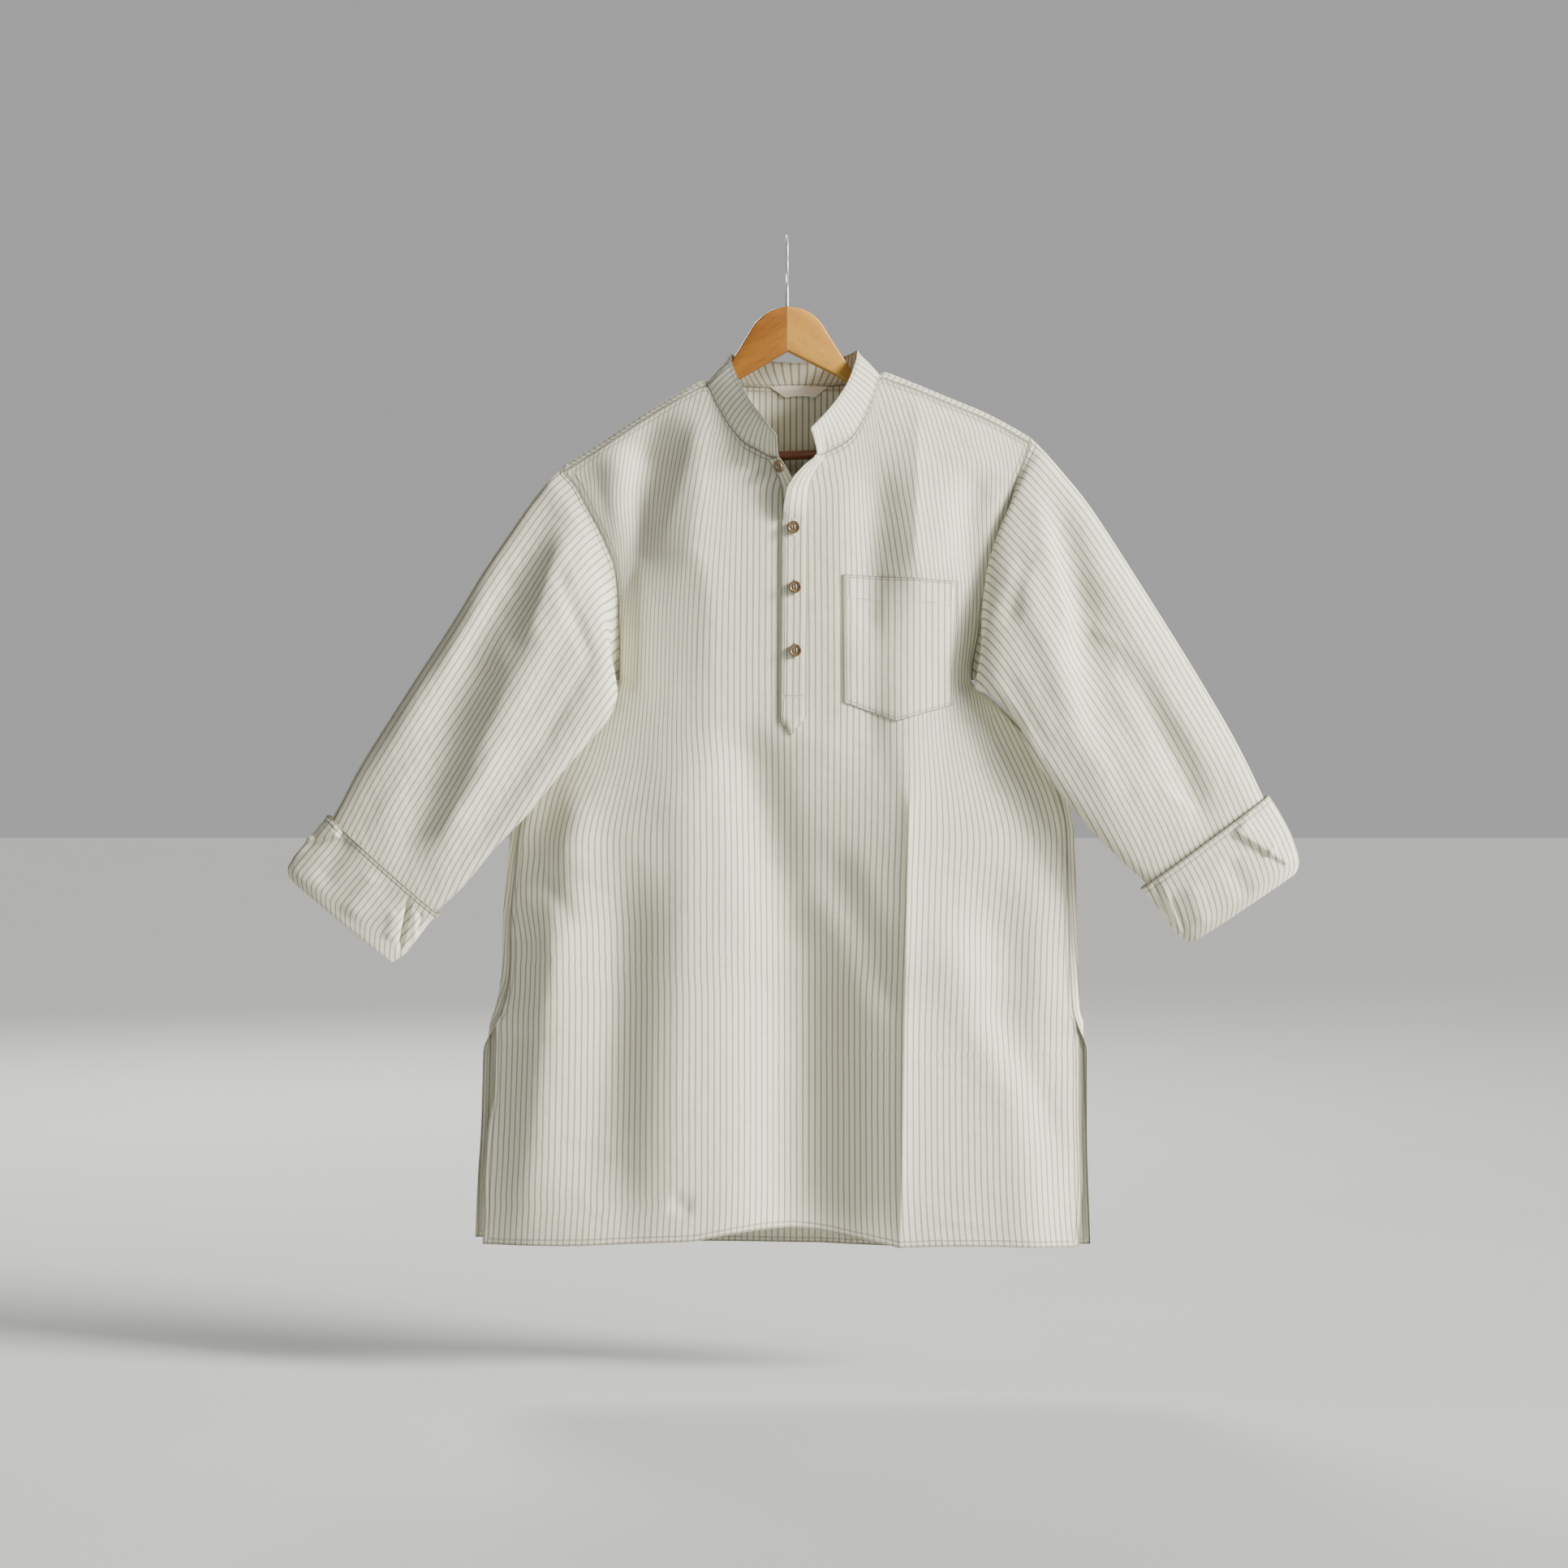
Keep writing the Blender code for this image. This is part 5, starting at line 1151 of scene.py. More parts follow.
def cuff_cloth(left):
    """One turned-up sleeve end, with the pleats and tucks of its folded cloth."""
    name = "left_cuff_cloth" if left else "right_cuff_cloth"
    sections = LEFT_CUFF if left else RIGHT_CUFF
    toward = 1 if left else -1
    steps = CUFF_STEPS
    shares = [((1 + math.cos(2 * math.pi * i / steps)) / 2, 2 * i <= steps) for i in range(steps + 1)]
    rings = np.array([sleeve_ring(section, shares, toward) for section in sections])
    points = smooth(rings, 18)
    edge = sections[1]
    over = (edge.inner_x - edge.outer_x, edge.inner_z - edge.outer_z)
    wide, sides = stripes_round(points, steps // 2, over, shares)
    piece = Cloth(name, points, sides * wide * 1.03 + 2.0, arc_length(points, 0), faces="tube")
    piece.close_tube()
    piece.seam = arc_length(points, 0)
    creases = LEFT_CUFF_CREASES if left else RIGHT_CUFF_CREASES
    tucks = LEFT_CUFF_TUCKS if left else RIGHT_CUFF_TUCKS
    lift = fold_height(points[..., 0], points[..., 2], creases)
    lift = lift + tuck_height(points[..., 0], points[..., 2], tucks)
    rim = ease(0, 2.5, piece.length) * (1 - ease(82, 88, piece.length))
    swell = np.sqrt(np.maximum(np.sin(np.pi * np.arange(steps + 1) / steps * 2), 0))
    piece.points = points + piece.normals() * (lift * rim * np.where(sides > 0, swell, 0))[..., None]
    return piece


def collar_cloth(garment):
    """The stand collar, from the panels' neck seam up to its own edge, a little rounded."""
    base = garment.neck()
    run = arc_length(base, 0)
    places = smooth([[r.share, r.x, r.y, r.z] for r in COLLAR_EDGE], 8)
    edge = [np.interp(run / run[-1], places[:, 0], places[:, k]) for k in (1, 2, 3)]
    edge = np.stack(edge, axis=1)
    rows = []
    for share in np.linspace(0, 1, 15):
        row = base + (edge - base) * share
        rows.append(row + bulge_out(row) * COLLAR_BULGE * math.sin(math.pi * share))
    points = np.array(rows)
    piece = Cloth("collar_cloth", points, np.tile(run, (len(rows), 1)), arc_length(points, 0), faces="neck")
    piece.seam = seam_distance(points) * 2.0
    return piece


def placket_cloth(garment):
    """The placket lies on the panel, pillowed between its two stitched edges."""
    levels = np.array(garment.coarse[garment.opening_row:, OPENING_COLUMN + 1, 2])
    levels[-1] -= 1.0
    shares = np.concatenate([[0.0, 0.03, 0.08], np.linspace(0.16, 0.84, 9), [0.92, 0.97, 1.0]])
    pillow = 2.6 + 1.0 * np.minimum(1, np.sin(np.pi * shares) * 2.2) - ease(0.9, 1.0, shares) * 1.0
    rows = []
    for z in smooth(levels, 6):
        right = opening("stitch", z)
        left = opening("placket", z)
        rise = math.sqrt(max(PLACKET_WIDTH**2 - (right - left) ** 2, 0.0))
        x = left + (right - left) * shares
        y = front_surface(x, z) - rise * (1 - shares) - pillow
        rows.append(np.stack([x, y, np.full_like(x, z)], axis=1))
    foot_x, foot_z = np.transpose(PLACKET_FOOT)
    first = rows[0]
    x = mix(foot_x[0], foot_x[-1], shares)
    low = np.interp(x, foot_x, foot_z)
    gap = front_surface(first[:, 0], first[:, 2]) - first[:, 1]
    foot = []
    for part in (0.0, 0.06, 0.2, 0.4, 0.6, 0.8):
        fx = mix(x, first[:, 0], part)
        fz = mix(low, first[:, 2], part)
        off = mix(1.2, gap, ease(0, 0.2, part))
        foot.append(np.stack([fx, front_surface(fx, fz) - off, fz], axis=1))
    points = np.array(foot + rows)
    across = np.tile(shares * PLACKET_WIDTH + 3.4, (len(points), 1))
    piece = Cloth("placket_cloth", points, across, arc_length(points, 0))
    upward = arc_length(points, 0)
    box = abs(upward - upward[PLACKET_BOX_ROW]) * NARROW + GROOVE
    piece.seam = np.minimum(seam_distance(points, top=False) * NARROW, box)
    return piece


def under_strip_cloth(garment):
    """The layer of the front opening that carries the top button."""
    levels = np.array(garment.coarse[garment.opening_row:, OPENING_COLUMN, 2])
    levels[-1] -= 1.5
    shares = np.linspace(0, 1, 11)
    rows = []
    for z in smooth(levels, 6):
        x = mix(opening("strip", z), opening("under", z), shares)
        y = front_surface(x, z) - shares * opening("under_rise", z) - LAYER * 0.9
        rows.append(np.stack([x, y, np.full_like(x, z)], axis=1))
    points = np.array(rows)
    across = np.tile(shares * 20 + 1.6, (len(points), 1))
    piece = Cloth("under_strip_cloth", points, across, arc_length(points, 0))
    piece.seam = seam_distance(points, foot=False, top=False) * 2.6
    return piece


def panel_depth(panel, x, z):
    """Depth of a fine panel at places, read off its own rows."""
    rows = panel[(panel[..., 2].max(axis=1) > z.min() - 12) & (panel[..., 2].min(axis=1) < z.max() + 30)]
    depths = []
    for at, height in zip(x, z):
        line = np.array([[np.interp(at, r[:, 0], r[:, k]) for k in (1, 2)] for r in rows])
        depths.append(np.interp(height, line[:, 1], line[:, 0]))
    return np.array(depths)


def pocket_cloth(garment):
    """The chest pocket, pillowed on the right half of the front panel."""
    shares = np.linspace(0, 1, 49)
    foot_x, foot_z = np.transpose(POCKET_FOOT)
    rows = []
    for down in np.linspace(1, 0, 57):
        x = mix(mix(POCKET_TOP[0].x, foot_x[0], down), mix(POCKET_TOP[1].x, foot_x[-1], down), shares)
        top = np.interp(x, *np.transpose(POCKET_TOP))
        foot = np.interp(mix(foot_x[0], foot_x[-1], shares), foot_x, foot_z)
        z = mix(top, foot, down)
        edge = np.minimum(np.minimum(shares, 1 - shares) * 117, (1 - down) * 130)
        gap = 1.1 + ease(0, 7, edge) + 0.9 * (1 - ease(0.0, 0.12, down)) * np.sin(np.pi * shares)
        rows.append(np.stack([x, panel_depth(garment.right, x, z) - gap, z], axis=1))
    points = np.array(rows)
    piece = Cloth("pocket_cloth", points, points[..., 0] + 2.4, points[..., 2])
    upward = arc_length(points, 0)
    down = upward[-1:] - upward
    hem = abs(down - POCKET_HEM) * NARROW + GROOVE
    bars = abs(seam_distance(points, foot=False, top=False) - 8) * NARROW + GROOVE
    bars = np.where(down < POCKET_HEM, bars, NO_SEAM)
    piece.seam = np.minimum.reduce([seam_distance(points) * NARROW, hem, bars])
    return piece


def label_cloth(garment):
    """The bare label, sewn in at the neck seam; its arched foot stands a little off the back panel."""
    back = garment.back[-70:]
    bend = np.linspace(-1, 1, 17) ** 2
    rows = []
    for share in np.linspace(1, 0, 7):
        middle = mix(LABEL[0].z, LABEL[3].z, share) + 4.0
        row = []
        places = np.linspace(mix(LABEL[0].x, LABEL[3].x, share), mix(LABEL[1].x, LABEL[2].x, share), 17)
        for x, drop in zip(places, bend):
            z = middle + 1.8 * share * (1 - drop) - 1.2 * (1 - share) * drop
            line = np.array([[np.interp(x, r[:, 0], r[:, k]) for k in (1, 2)] for r in back])
            row.append((x, np.interp(z, line[:, 1], line[:, 0]) - 1.6 - 2.6 * share, z))
        rows.append(row)
    points = np.array(rows)
    return Cloth("label_cloth", points, points[..., 0], points[..., 2])


class Value:
    """A shader socket with arithmetic."""

    def __init__(self, nodes, socket):
        self.nodes = nodes
        self.socket = socket

    def maths(self, operation, *terms):
        """One Math node over one or two terms, values or plain numbers."""
        node = self.nodes.tree.nodes.new("ShaderNodeMath")
        node.operation = operation
        for term, socket in zip(terms, node.inputs):
            self.nodes.link(term, socket)
        return Value(self.nodes, node.outputs[0])

    def __add__(self, other):
        return self.maths("ADD", self, other)

    def __radd__(self, other):
        return self.maths("ADD", other, self)

    def __sub__(self, other):
        return self.maths("SUBTRACT", self, other)

    def __rsub__(self, other):
        return self.maths("SUBTRACT", other, self)

    def __mul__(self, other):
        return self.maths("MULTIPLY", self, other)

    def __rmul__(self, other):
        return self.maths("MULTIPLY", other, self)

    def __truediv__(self, other):
        return self.maths("DIVIDE", self, other)

    def __rtruediv__(self, other):
        return self.maths("DIVIDE", other, self)

    def distance(self, other):
        """How far this value is from another."""
        return self.maths("ABSOLUTE", self - other)

    def wrapped(self):
        """The part after the decimal point."""
        return self.maths("FRACT", self)

    def wave(self):
        """Its sine."""
        return self.maths("SINE", self)

    def band(self, low, high, start=0.0, end=1.0):
        """Smoothly from start at low to end at high."""
        node = self.nodes.tree.nodes.new("ShaderNodeMapRange")
        node.interpolation_type = "SMOOTHSTEP"
        self.nodes.link(self, node.inputs["Value"])
        for name, value in (("From Min", low), ("From Max", high), ("To Min", start), ("To Max", end)):
            node.inputs[name].default_value = value
        return Value(self.nodes, node.outputs["Result"])


class Nodes:
    """Builds one material around its Principled shader."""

    def __init__(self, name, roughness, metallic=0.0):
        self.material = bpy.data.materials.new(name)
        self.material.use_nodes = True
        self.tree = self.material.node_tree
        self.shader = self.tree.nodes["Principled BSDF"]
        self.shader.inputs["Roughness"].default_value = roughness
        self.shader.inputs["Metallic"].default_value = metallic

    def link(self, value, socket):
        """Joins a value to a socket, or sets the socket to a plain number or colour."""
        if isinstance(value, Value):
            self.tree.links.new(value.socket, socket)
        else:
            socket.default_value = value

    def node(self, kind, output=0, settings=(), **inputs):
        """Any other node, with its settings and inputs by name."""
        made = self.tree.nodes.new(kind)
        for name, value in dict(settings).items():
            setattr(made, name, value)
        for name, value in inputs.items():
            self.link(value, made.inputs[name.replace("_", " ")])
        return Value(self, made.outputs[output])

    def uv(self):
        """The stripe map: across and along the stripes."""
        return self.node("ShaderNodeUVMap", settings={"uv_map": "stripes"})

    def place(self):
        """The place on the object, in metres."""
        return self.node("ShaderNodeTexCoord", output="Object")

    def parts(self, vector):
        """The three numbers of a vector."""
        split = self.tree.nodes.new("ShaderNodeSeparateXYZ")
        self.link(vector, split.inputs[0])
        return [Value(self, out) for out in split.outputs]

    def vector(self, x, y, z=0.0):
        """A vector from three values or numbers."""
        joined = self.tree.nodes.new("ShaderNodeCombineXYZ")
        for value, socket in zip((x, y, z), joined.inputs):
            self.link(value, socket)
        return Value(self, joined.outputs[0])

    def noise(self, vector, scale, detail=2.0):
        """Soft noise between 0 and 1."""
        return self.node("ShaderNodeTexNoise", Vector=vector, Scale=scale, Detail=detail)

    def attribute(self, name):
        """A number stored on the points of the mesh."""
        return self.node("ShaderNodeAttribute", output="Fac", settings={"attribute_name": name})

    def blend(self, share, first, second):
        """A colour between two others."""
        made = self.tree.nodes.new("ShaderNodeMix")
        made.data_type = "RGBA"
        self.link(share, made.inputs["Factor"])
        for index, value in ((6, first), (7, second)):
            self.link(value if isinstance(value, Value) else (*value, 1.0), made.inputs[index])
        return Value(self, made.outputs[2])

    def finish(self, colour, roughness=None, height=None, distance=0.001, strength=1.0):
        """Joins colour, roughness and relief to the shader and gives back the material."""
        self.link(colour, self.shader.inputs["Base Color"])
        if roughness is not None:
            self.link(roughness, self.shader.inputs["Roughness"])
        if height is not None:
            bump = self.tree.nodes.new("ShaderNodeBump")
            bump.inputs["Distance"].default_value = distance
            bump.inputs["Strength"].default_value = strength
            self.link(height, bump.inputs["Height"])
            self.tree.links.new(bump.outputs[0], self.shader.inputs["Normal"])
        return self.material


# Colours of the cloth: its ground, its stripes, the painted shade along its seams and in its grooves, and the
# sewing thread
COTTON_WHITE = (0.88, 0.865, 0.70)
STRIPE_GREY = (0.25, 0.25, 0.13)
SEAM_SHADE = (0.22, 0.21, 0.16)
GROOVE_SHADE = (0.34, 0.33, 0.26)
THREAD_WHITE = (0.92, 0.91, 0.84)


def darker(colour, share):
    """A colour with a share of its light."""
    return tuple(part * share for part in colour)


def cotton_material():
    """Plain-weave cotton: narrow stripes, slubbed threads both ways, and pressed seams with painted shade
    along their edges and in their grooves.
    """
    look = Nodes("striped_cotton_cloth", 0.88)
    look.shader.inputs["Sheen Weight"].default_value = 0.25
    look.shader.inputs["Sheen Roughness"].default_value = 0.5
    look.shader.inputs["Specular IOR Level"].default_value = 0.2
    across, length = [part * MAP_UNIT for part in look.parts(look.uv())[:2]]
    wander = look.noise(look.vector(across * 0.02, length * 0.012), 1.0, 1.0) - 0.5
    line = ((across + wander * 0.9) / STRIPE_PITCH).wrapped().distance(0.5)
    yarn = look.noise(look.vector(across * 1.7, length * 0.16), 1.0, 2.0)
    pick = look.noise(look.vector(across * 0.16, length * 1.7), 1.0, 2.0)
    stripe = line.band(0.160, 0.100)
    uneven = look.noise(look.vector(across * 1.2, length * 0.9), 1.0, 2.0).band(0.3, 0.7, 0.72, 1.0)
    stripe = stripe * uneven
    slub = (yarn - 0.5) * 0.10 + (pick - 0.5) * 0.10 + 0.5
    base = look.blend(slub.band(0.42, 0.58), darker(COTTON_WHITE, 0.955), COTTON_WHITE)
    colour = look.blend(stripe * 0.86, base, STRIPE_GREY)
    thread = (across * 11.0).wave() * 0.12 + (length * 11.0).wave() * 0.12
    crumple = look.noise(look.vector(across * 0.045, length * 0.065), 1.0, 3.0) - 0.5
    height = thread + (yarn - 0.5) * 0.5 + (pick - 0.5) * 0.5 + crumple * 4.5
    seam = look.attribute("seam")
    pucker = look.noise(look.vector(across * 0.22, length * 0.22), 1.0, 1.0) - 0.5
    near = seam.band(12.0, 3.0)
    groove = seam.distance(GROOVE).band(2.2, 0.2)
    # Painted shade: a dark line along every sewn edge, and a painted shadow line in each groove
    colour = look.blend(seam.band(3.4, 0.8) * 0.78, colour, SEAM_SHADE)
    colour = look.blend(groove * 0.5, colour, GROOVE_SHADE)
    height = height + pucker * near * 1.8 - groove * 2.4 + seam.band(8.5, 7.0) * 0.9
    return look.finish(colour, height=height, distance=0.0004, strength=0.7)


def thread_material():
    """Off-white twisted thread."""
    look = Nodes("sewing_thread", 0.7)
    twist = look.noise(look.place(), 900.0, 1.0)
    colour = look.blend(twist, darker(THREAD_WHITE, 0.88), THREAD_WHITE)
    return look.finish(colour, height=twist, distance=0.0002)


def satin_material():
    """Finely ribbed cream satin for the label."""
    look = Nodes("cream_satin", 0.38)
    look.shader.inputs["Sheen Weight"].default_value = 0.3
    x, y, z = look.parts(look.place())
    rib = (z * 9000.0).wave()
    soft = look.noise(look.vector(x * 40.0, y, z * 400.0), 1.0, 2.0)
    # Painted light: both creams are paler than the satin's own, to show the label lit inside the shaded neck
    colour = look.blend(soft, (0.90, 0.86, 0.73), (0.95, 0.92, 0.81))
    return look.finish(colour, height=rib * 0.3 + soft, distance=0.0002, strength=0.5)


def wood_material(name, pale, dark, deep, tilt):
    """Long grain along the arm, with fine pores and darker growth lines."""
    look = Nodes(name, 0.42)
    look.shader.inputs["Coat Weight"].default_value = 0.25
    look.shader.inputs["Coat Roughness"].default_value = 0.25
    x, y, z = look.parts(look.place())
    run = x * math.cos(tilt) + z * math.sin(tilt)
    rise = z * math.cos(tilt) - x * math.sin(tilt)
    bend = look.noise(look.vector(run * 12.0, y * 20.0, rise * 20.0), 1.0, 2.0)
    rings = ((rise * 190.0 + y * 40.0 + bend * 5.0).wave() + 1.0) * 0.5
    grain = look.noise(look.vector(run * 60.0, y * 900.0, rise * 900.0), 1.0, 3.0)
    patch = look.noise(look.vector(run * 18.0, y * 30.0, rise * 45.0), 1.0, 2.0)
    colour = look.blend(rings.band(0.25, 0.95) * 0.55, pale, dark)
    colour = look.blend(grain.band(0.5, 0.72) * 0.5, colour, deep)
    colour = look.blend(patch.band(0.42, 0.68) * 0.35, colour, dark)
    rough = grain.band(0.3, 0.7, 0.36, 0.52)
    return look.finish(colour, rough, grain + rings * 0.4, 0.0003, 0.5)


def steel_material():
    """Dull bright wire, a little stained."""
    look = Nodes("hook_wire", 0.5, 0.85)
    stain = look.noise(look.place(), 160.0, 3.0)
    colour = look.blend(stain, (0.62, 0.62, 0.61), (0.74, 0.74, 0.72))
    return look.finish(colour, stain.band(0.3, 0.7, 0.42, 0.55), stain, 0.00005, 0.2)


def horn_material():
    """Tan-brown button with a darker rim, mottled like horn."""
    look = Nodes("button_horn", 0.32)
    look.shader.inputs["Coat Weight"].default_value = 0.3
    radius = look.parts(look.uv())[0] * MAP_UNIT
    place = look.place()
    cloud = look.noise(place, 420.0, 3.0)
    swirl = look.noise(place, 1500.0, 2.0)
    colour = look.blend(cloud.band(0.35, 0.65), (0.105, 0.068, 0.027), (0.20, 0.132, 0.052))
    colour = look.blend(swirl.band(0.5, 0.8) * 0.35, colour, (0.26, 0.19, 0.115))
    colour = look.blend(radius.band(4.2, 5.6) * 0.55, colour, (0.13, 0.07, 0.035))
    colour = look.blend(radius.band(2.9, 2.1) * 0.6, colour, (0.10, 0.055, 0.03))
    return look.finish(colour, cloud.band(0.3, 0.7, 0.26, 0.42), swirl, 0.0001, 0.4)


def stitch_tree():
    """Geometry Nodes: lays small rounded stitches end to end along every edge of a mesh."""
    tree = bpy.data.node_groups.new("topstitch", "GeometryNodeTree")
    face = tree.interface
    face.new_socket("Line", in_out="INPUT", socket_type="NodeSocketGeometry")
    for name, value in zip(("Pitch", "Stitch Length", "Thread"), TOPSTITCH):
        face.new_socket(name, in_out="INPUT", socket_type="NodeSocketFloat").default_value = value * MM
    face.new_socket("Look", in_out="INPUT", socket_type="NodeSocketMaterial")
    face.new_socket("Seam", in_out="OUTPUT", socket_type="NodeSocketGeometry")

    def add(kind, settings=(), **inputs):
        """A node with its settings and inputs by name; gives back its outputs."""
        node = tree.nodes.new(kind)
        for name, value in dict(settings).items():
            setattr(node, name, value)
        for name, value in inputs.items():
            if isinstance(value, bpy.types.NodeSocket):
                tree.links.new(value, node.inputs[name])
            else:
                node.inputs[name].default_value = value
        return node.outputs

    given = add("NodeGroupInput")
    curve = add("GeometryNodeMeshToCurve", Mesh=given["Line"])["Curve"]
    spaced = add("GeometryNodeResampleCurve", {"mode": "LENGTH"}, Curve=curve, Length=given["Pitch"])["Curve"]
    bead = add("GeometryNodeMeshUVSphere", Segments=6, Rings=4, Radius=0.5)["Mesh"]
    wide = given["Thread"]
    size = add("ShaderNodeCombineXYZ", X=wide, Y=wide, Z=given["Stitch Length"])["Vector"]
    tangent = add("GeometryNodeInputTangent")[0]
    turn = add("FunctionNodeAlignRotationToVector", {"axis": "Z"}, Vector=tangent)["Rotation"]
    lay = add("GeometryNodeInstanceOnPoints", Points=spaced, Instance=bead, Rotation=turn, Scale=size)
    real = add("GeometryNodeRealizeInstances", Geometry=lay["Instances"])["Geometry"]
    dressed = add("GeometryNodeSetMaterial", Geometry=real, Material=given["Look"])["Geometry"]
    add("NodeGroupOutput", Seam=dressed)
    return tree


def stitches(name, lines, tree, look, stitch=TOPSTITCH):
    """One piece of stitching along several lines of points in millimetres."""
    points = []
    edges = []
    for line in lines:
        start = len(points)
        points += [tuple(p) for p in np.asarray(line) * MM]
        edges += [(i, i + 1) for i in range(start, len(points) - 1)]
    data = bpy.data.meshes.new(name + "_line")
    data.from_pydata(points, edges, [])
    drawn = in_scene(name + "_line", data)
    rows = drawn.modifiers.new("topstitch", "NODES")
    rows.node_group = tree
    wanted = {"Pitch": stitch.pitch * MM, "Stitch Length": stitch.length * MM,
              "Thread": stitch.thread * MM, "Look": look}
    for item in tree.interface.items_tree:
        if item.in_out == "INPUT" and item.name in wanted:
            rows[item.identifier] = wanted[item.name]
    plain = worked_out(name, drawn)
    plain.shade_smooth()
    return placed(name, plain, look)


def loft(name, rings, look, smooth_angle=50):
    """A closed solid through rings of points in millimetres, capped at both ends."""
    rings = np.array(rings, dtype=float)
    count, sides = rings.shape[:2]
    faces = []
    for r in range(count - 1):
        for k in range(sides):
            j = (k + 1) % sides
            faces.append((r * sides + k, r * sides + j, (r + 1) * sides + j, (r + 1) * sides + k))
    faces.append(tuple(range(sides))[::-1])
    faces.append(tuple((count - 1) * sides + k for k in range(sides)))
    build = bmesh.new()
    corners = [build.verts.new(tuple(p * MM)) for p in rings.reshape(-1, 3)]
    for face in faces:
        build.faces.new([corners[i] for i in face])
    bmesh.ops.recalc_face_normals(build, faces=build.faces)
    data = mesh_of(name, build)
    data.shade_smooth()
    data.set_sharp_from_angle(angle=math.radians(smooth_angle))
    return placed(name, data, look)


def swept(name, path, radii, look, sides=16):
    """A round bar along a path, its rings turned as little as possible from one to the next."""
    points = np.array(path, dtype=float)
    tangents = unit(np.gradient(points, axis=0))
    guide = np.array([1.0, 0, 0]) if abs(tangents[0][0]) < 0.9 else np.array([0, 1.0, 0])
    rings = []
    for point, tangent, radius in zip(points, tangents, radii):
        guide = unit(guide - tangent * (guide @ tangent))
        other = np.cross(tangent, guide)
        turn = 2 * np.pi * np.arange(sides) / sides
        rings.append(point + radius * (np.outer(np.cos(turn), guide) + np.outer(np.sin(turn), other)))
    return loft(name, rings, look)


def strip_place(share, z):
    """A point on the under strip and the direction the strip faces there."""
    across = strip_point(share + 0.1, z) - strip_point(share - 0.1, z)
    upward = strip_point(share, z + 3) - strip_point(share, z - 5)
    facing = unit(np.cross(across, upward))
    return strip_point(share, z), facing if facing[1] < 0 else -facing


def turned(points, centre, normal):
    """Points around the Z axis moved to a centre and turned to face along a normal."""
    turn = np.array(Vector(normal).to_track_quat("Z", "Y").to_matrix())
    return np.asarray(points) @ turn.T + np.asarray(centre)


def button(name, centre, normal, look, thread):
    """A four-hole button with a raised rim and a dished middle, and the thread that holds it."""
    radius = BUTTON_DIAMETER / 2
    high = BUTTON_THICKNESS
    profile = [(0, 0.1), (radius - 1.2, 0), (radius - 0.35, 0.25), (radius, 0.8), (radius, high - 0.8),
               (radius - 0.25, high - 0.25), (radius - 0.8, high), (radius - 1.5, high - 0.05),
               (radius - 2.1, high - 0.45), (radius - 2.8, high - 0.75), (1.2, high - 0.85), (0, high - 0.85)]
    profile = [profile[0]] + [tuple(p) for p in smooth(profile[1:-1], 3)] + [profile[-1]]
    sides = BUTTON_SIDES
    build = bmesh.new()
    rings = []
    for r, h in profile:
        steps = [0] if r == 0 else range(sides)
        rings.append([build.verts.new((r * math.cos(2 * math.pi * k / sides) * MM,
                                       r * math.sin(2 * math.pi * k / sides) * MM, h * MM)) for k in steps])
    for below, above in zip(rings, rings[1:]):
        for k in range(sides):
            j = (k + 1) % sides
            if len(below) == 1:
                build.faces.new((below[0], above[j], above[k]))
            elif len(above) == 1:
                build.faces.new((below[k], below[j], above[0]))
            else:
                build.faces.new((below[k], below[j], above[j], above[k]))
    blank = in_scene(name + "_blank", mesh_of(name, build))
    drills = []
    for x, y in ((1, 1), (1, -1), (-1, 1), (-1, -1)):
        drill = bmesh.new()
        bmesh.ops.create_cone(drill, cap_ends=True, segments=20, radius1=HOLE_DIAMETER / 2 * MM,
                              radius2=HOLE_DIAMETER / 2 * MM, depth=8 * MM)
        bmesh.ops.translate(drill, verts=drill.verts,
                            vec=(x * HOLE_PITCH / 2 * MM, y * HOLE_PITCH / 2 * MM, high / 2 * MM))
        tool = in_scene(name + "_drill", mesh_of(name + "_drill", drill))
        cut = blank.modifiers.new("hole", "BOOLEAN")
        cut.operation = "DIFFERENCE"
        cut.solver = "EXACT"
        cut.object = tool
        drills.append(tool)
    done = worked_out(name, blank)
    for tool in drills:
        bpy.data.objects.remove(tool)
    flat = np.zeros(len(done.vertices) * 3)
    done.vertices.foreach_get("co", flat)
    flat = flat.reshape(-1, 3) / MM
    corners = np.zeros(len(done.loops), dtype=np.int32)
    done.loops.foreach_get("vertex_index", corners)
    reach = np.hypot(flat[:, 0], flat[:, 1])[corners] / MAP_UNIT
    uv = np.stack([reach, reach * 0], axis=1).reshape(-1).astype(np.float32)
    done.uv_layers.new(name="stripes").data.foreach_set("uv", uv)
    done.vertices.foreach_set("co", (turned(flat, centre, normal) * MM).reshape(-1))
    done.shade_smooth()
    done.set_sharp_from_angle(angle=math.radians(35))
    made = placed(name, done, look)
    half = HOLE_PITCH / 2
    pieces = []
    bar = [(-half, 0.2), (-half, high - 0.9), (-half * 0.8, high - 0.35), (0, high - 0.2),
           (half * 0.8, high - 0.35), (half, high - 0.9), (half, 0.2)]
    for index, x in enumerate((-half, half)):
        path = turned(smooth([(x, y, z) for y, z in bar], 3), centre, normal)
        radii = [THREAD_RADIUS] * len(path)
        pieces.append(swept(f"{name}_thread_{index}", path, radii, thread, 8))
    return made, pieces


def joined_pieces(name, pieces):
    """Several meshes of one material as one piece."""
    build = bmesh.new()
    for piece in pieces:
        build.from_mesh(piece.data)
    look = pieces[0].data.materials[0]
    data = mesh_of(name, build)
    for piece in pieces:
        bpy.data.objects.remove(piece)
    data.shade_smooth()
    return placed(name, data, look)


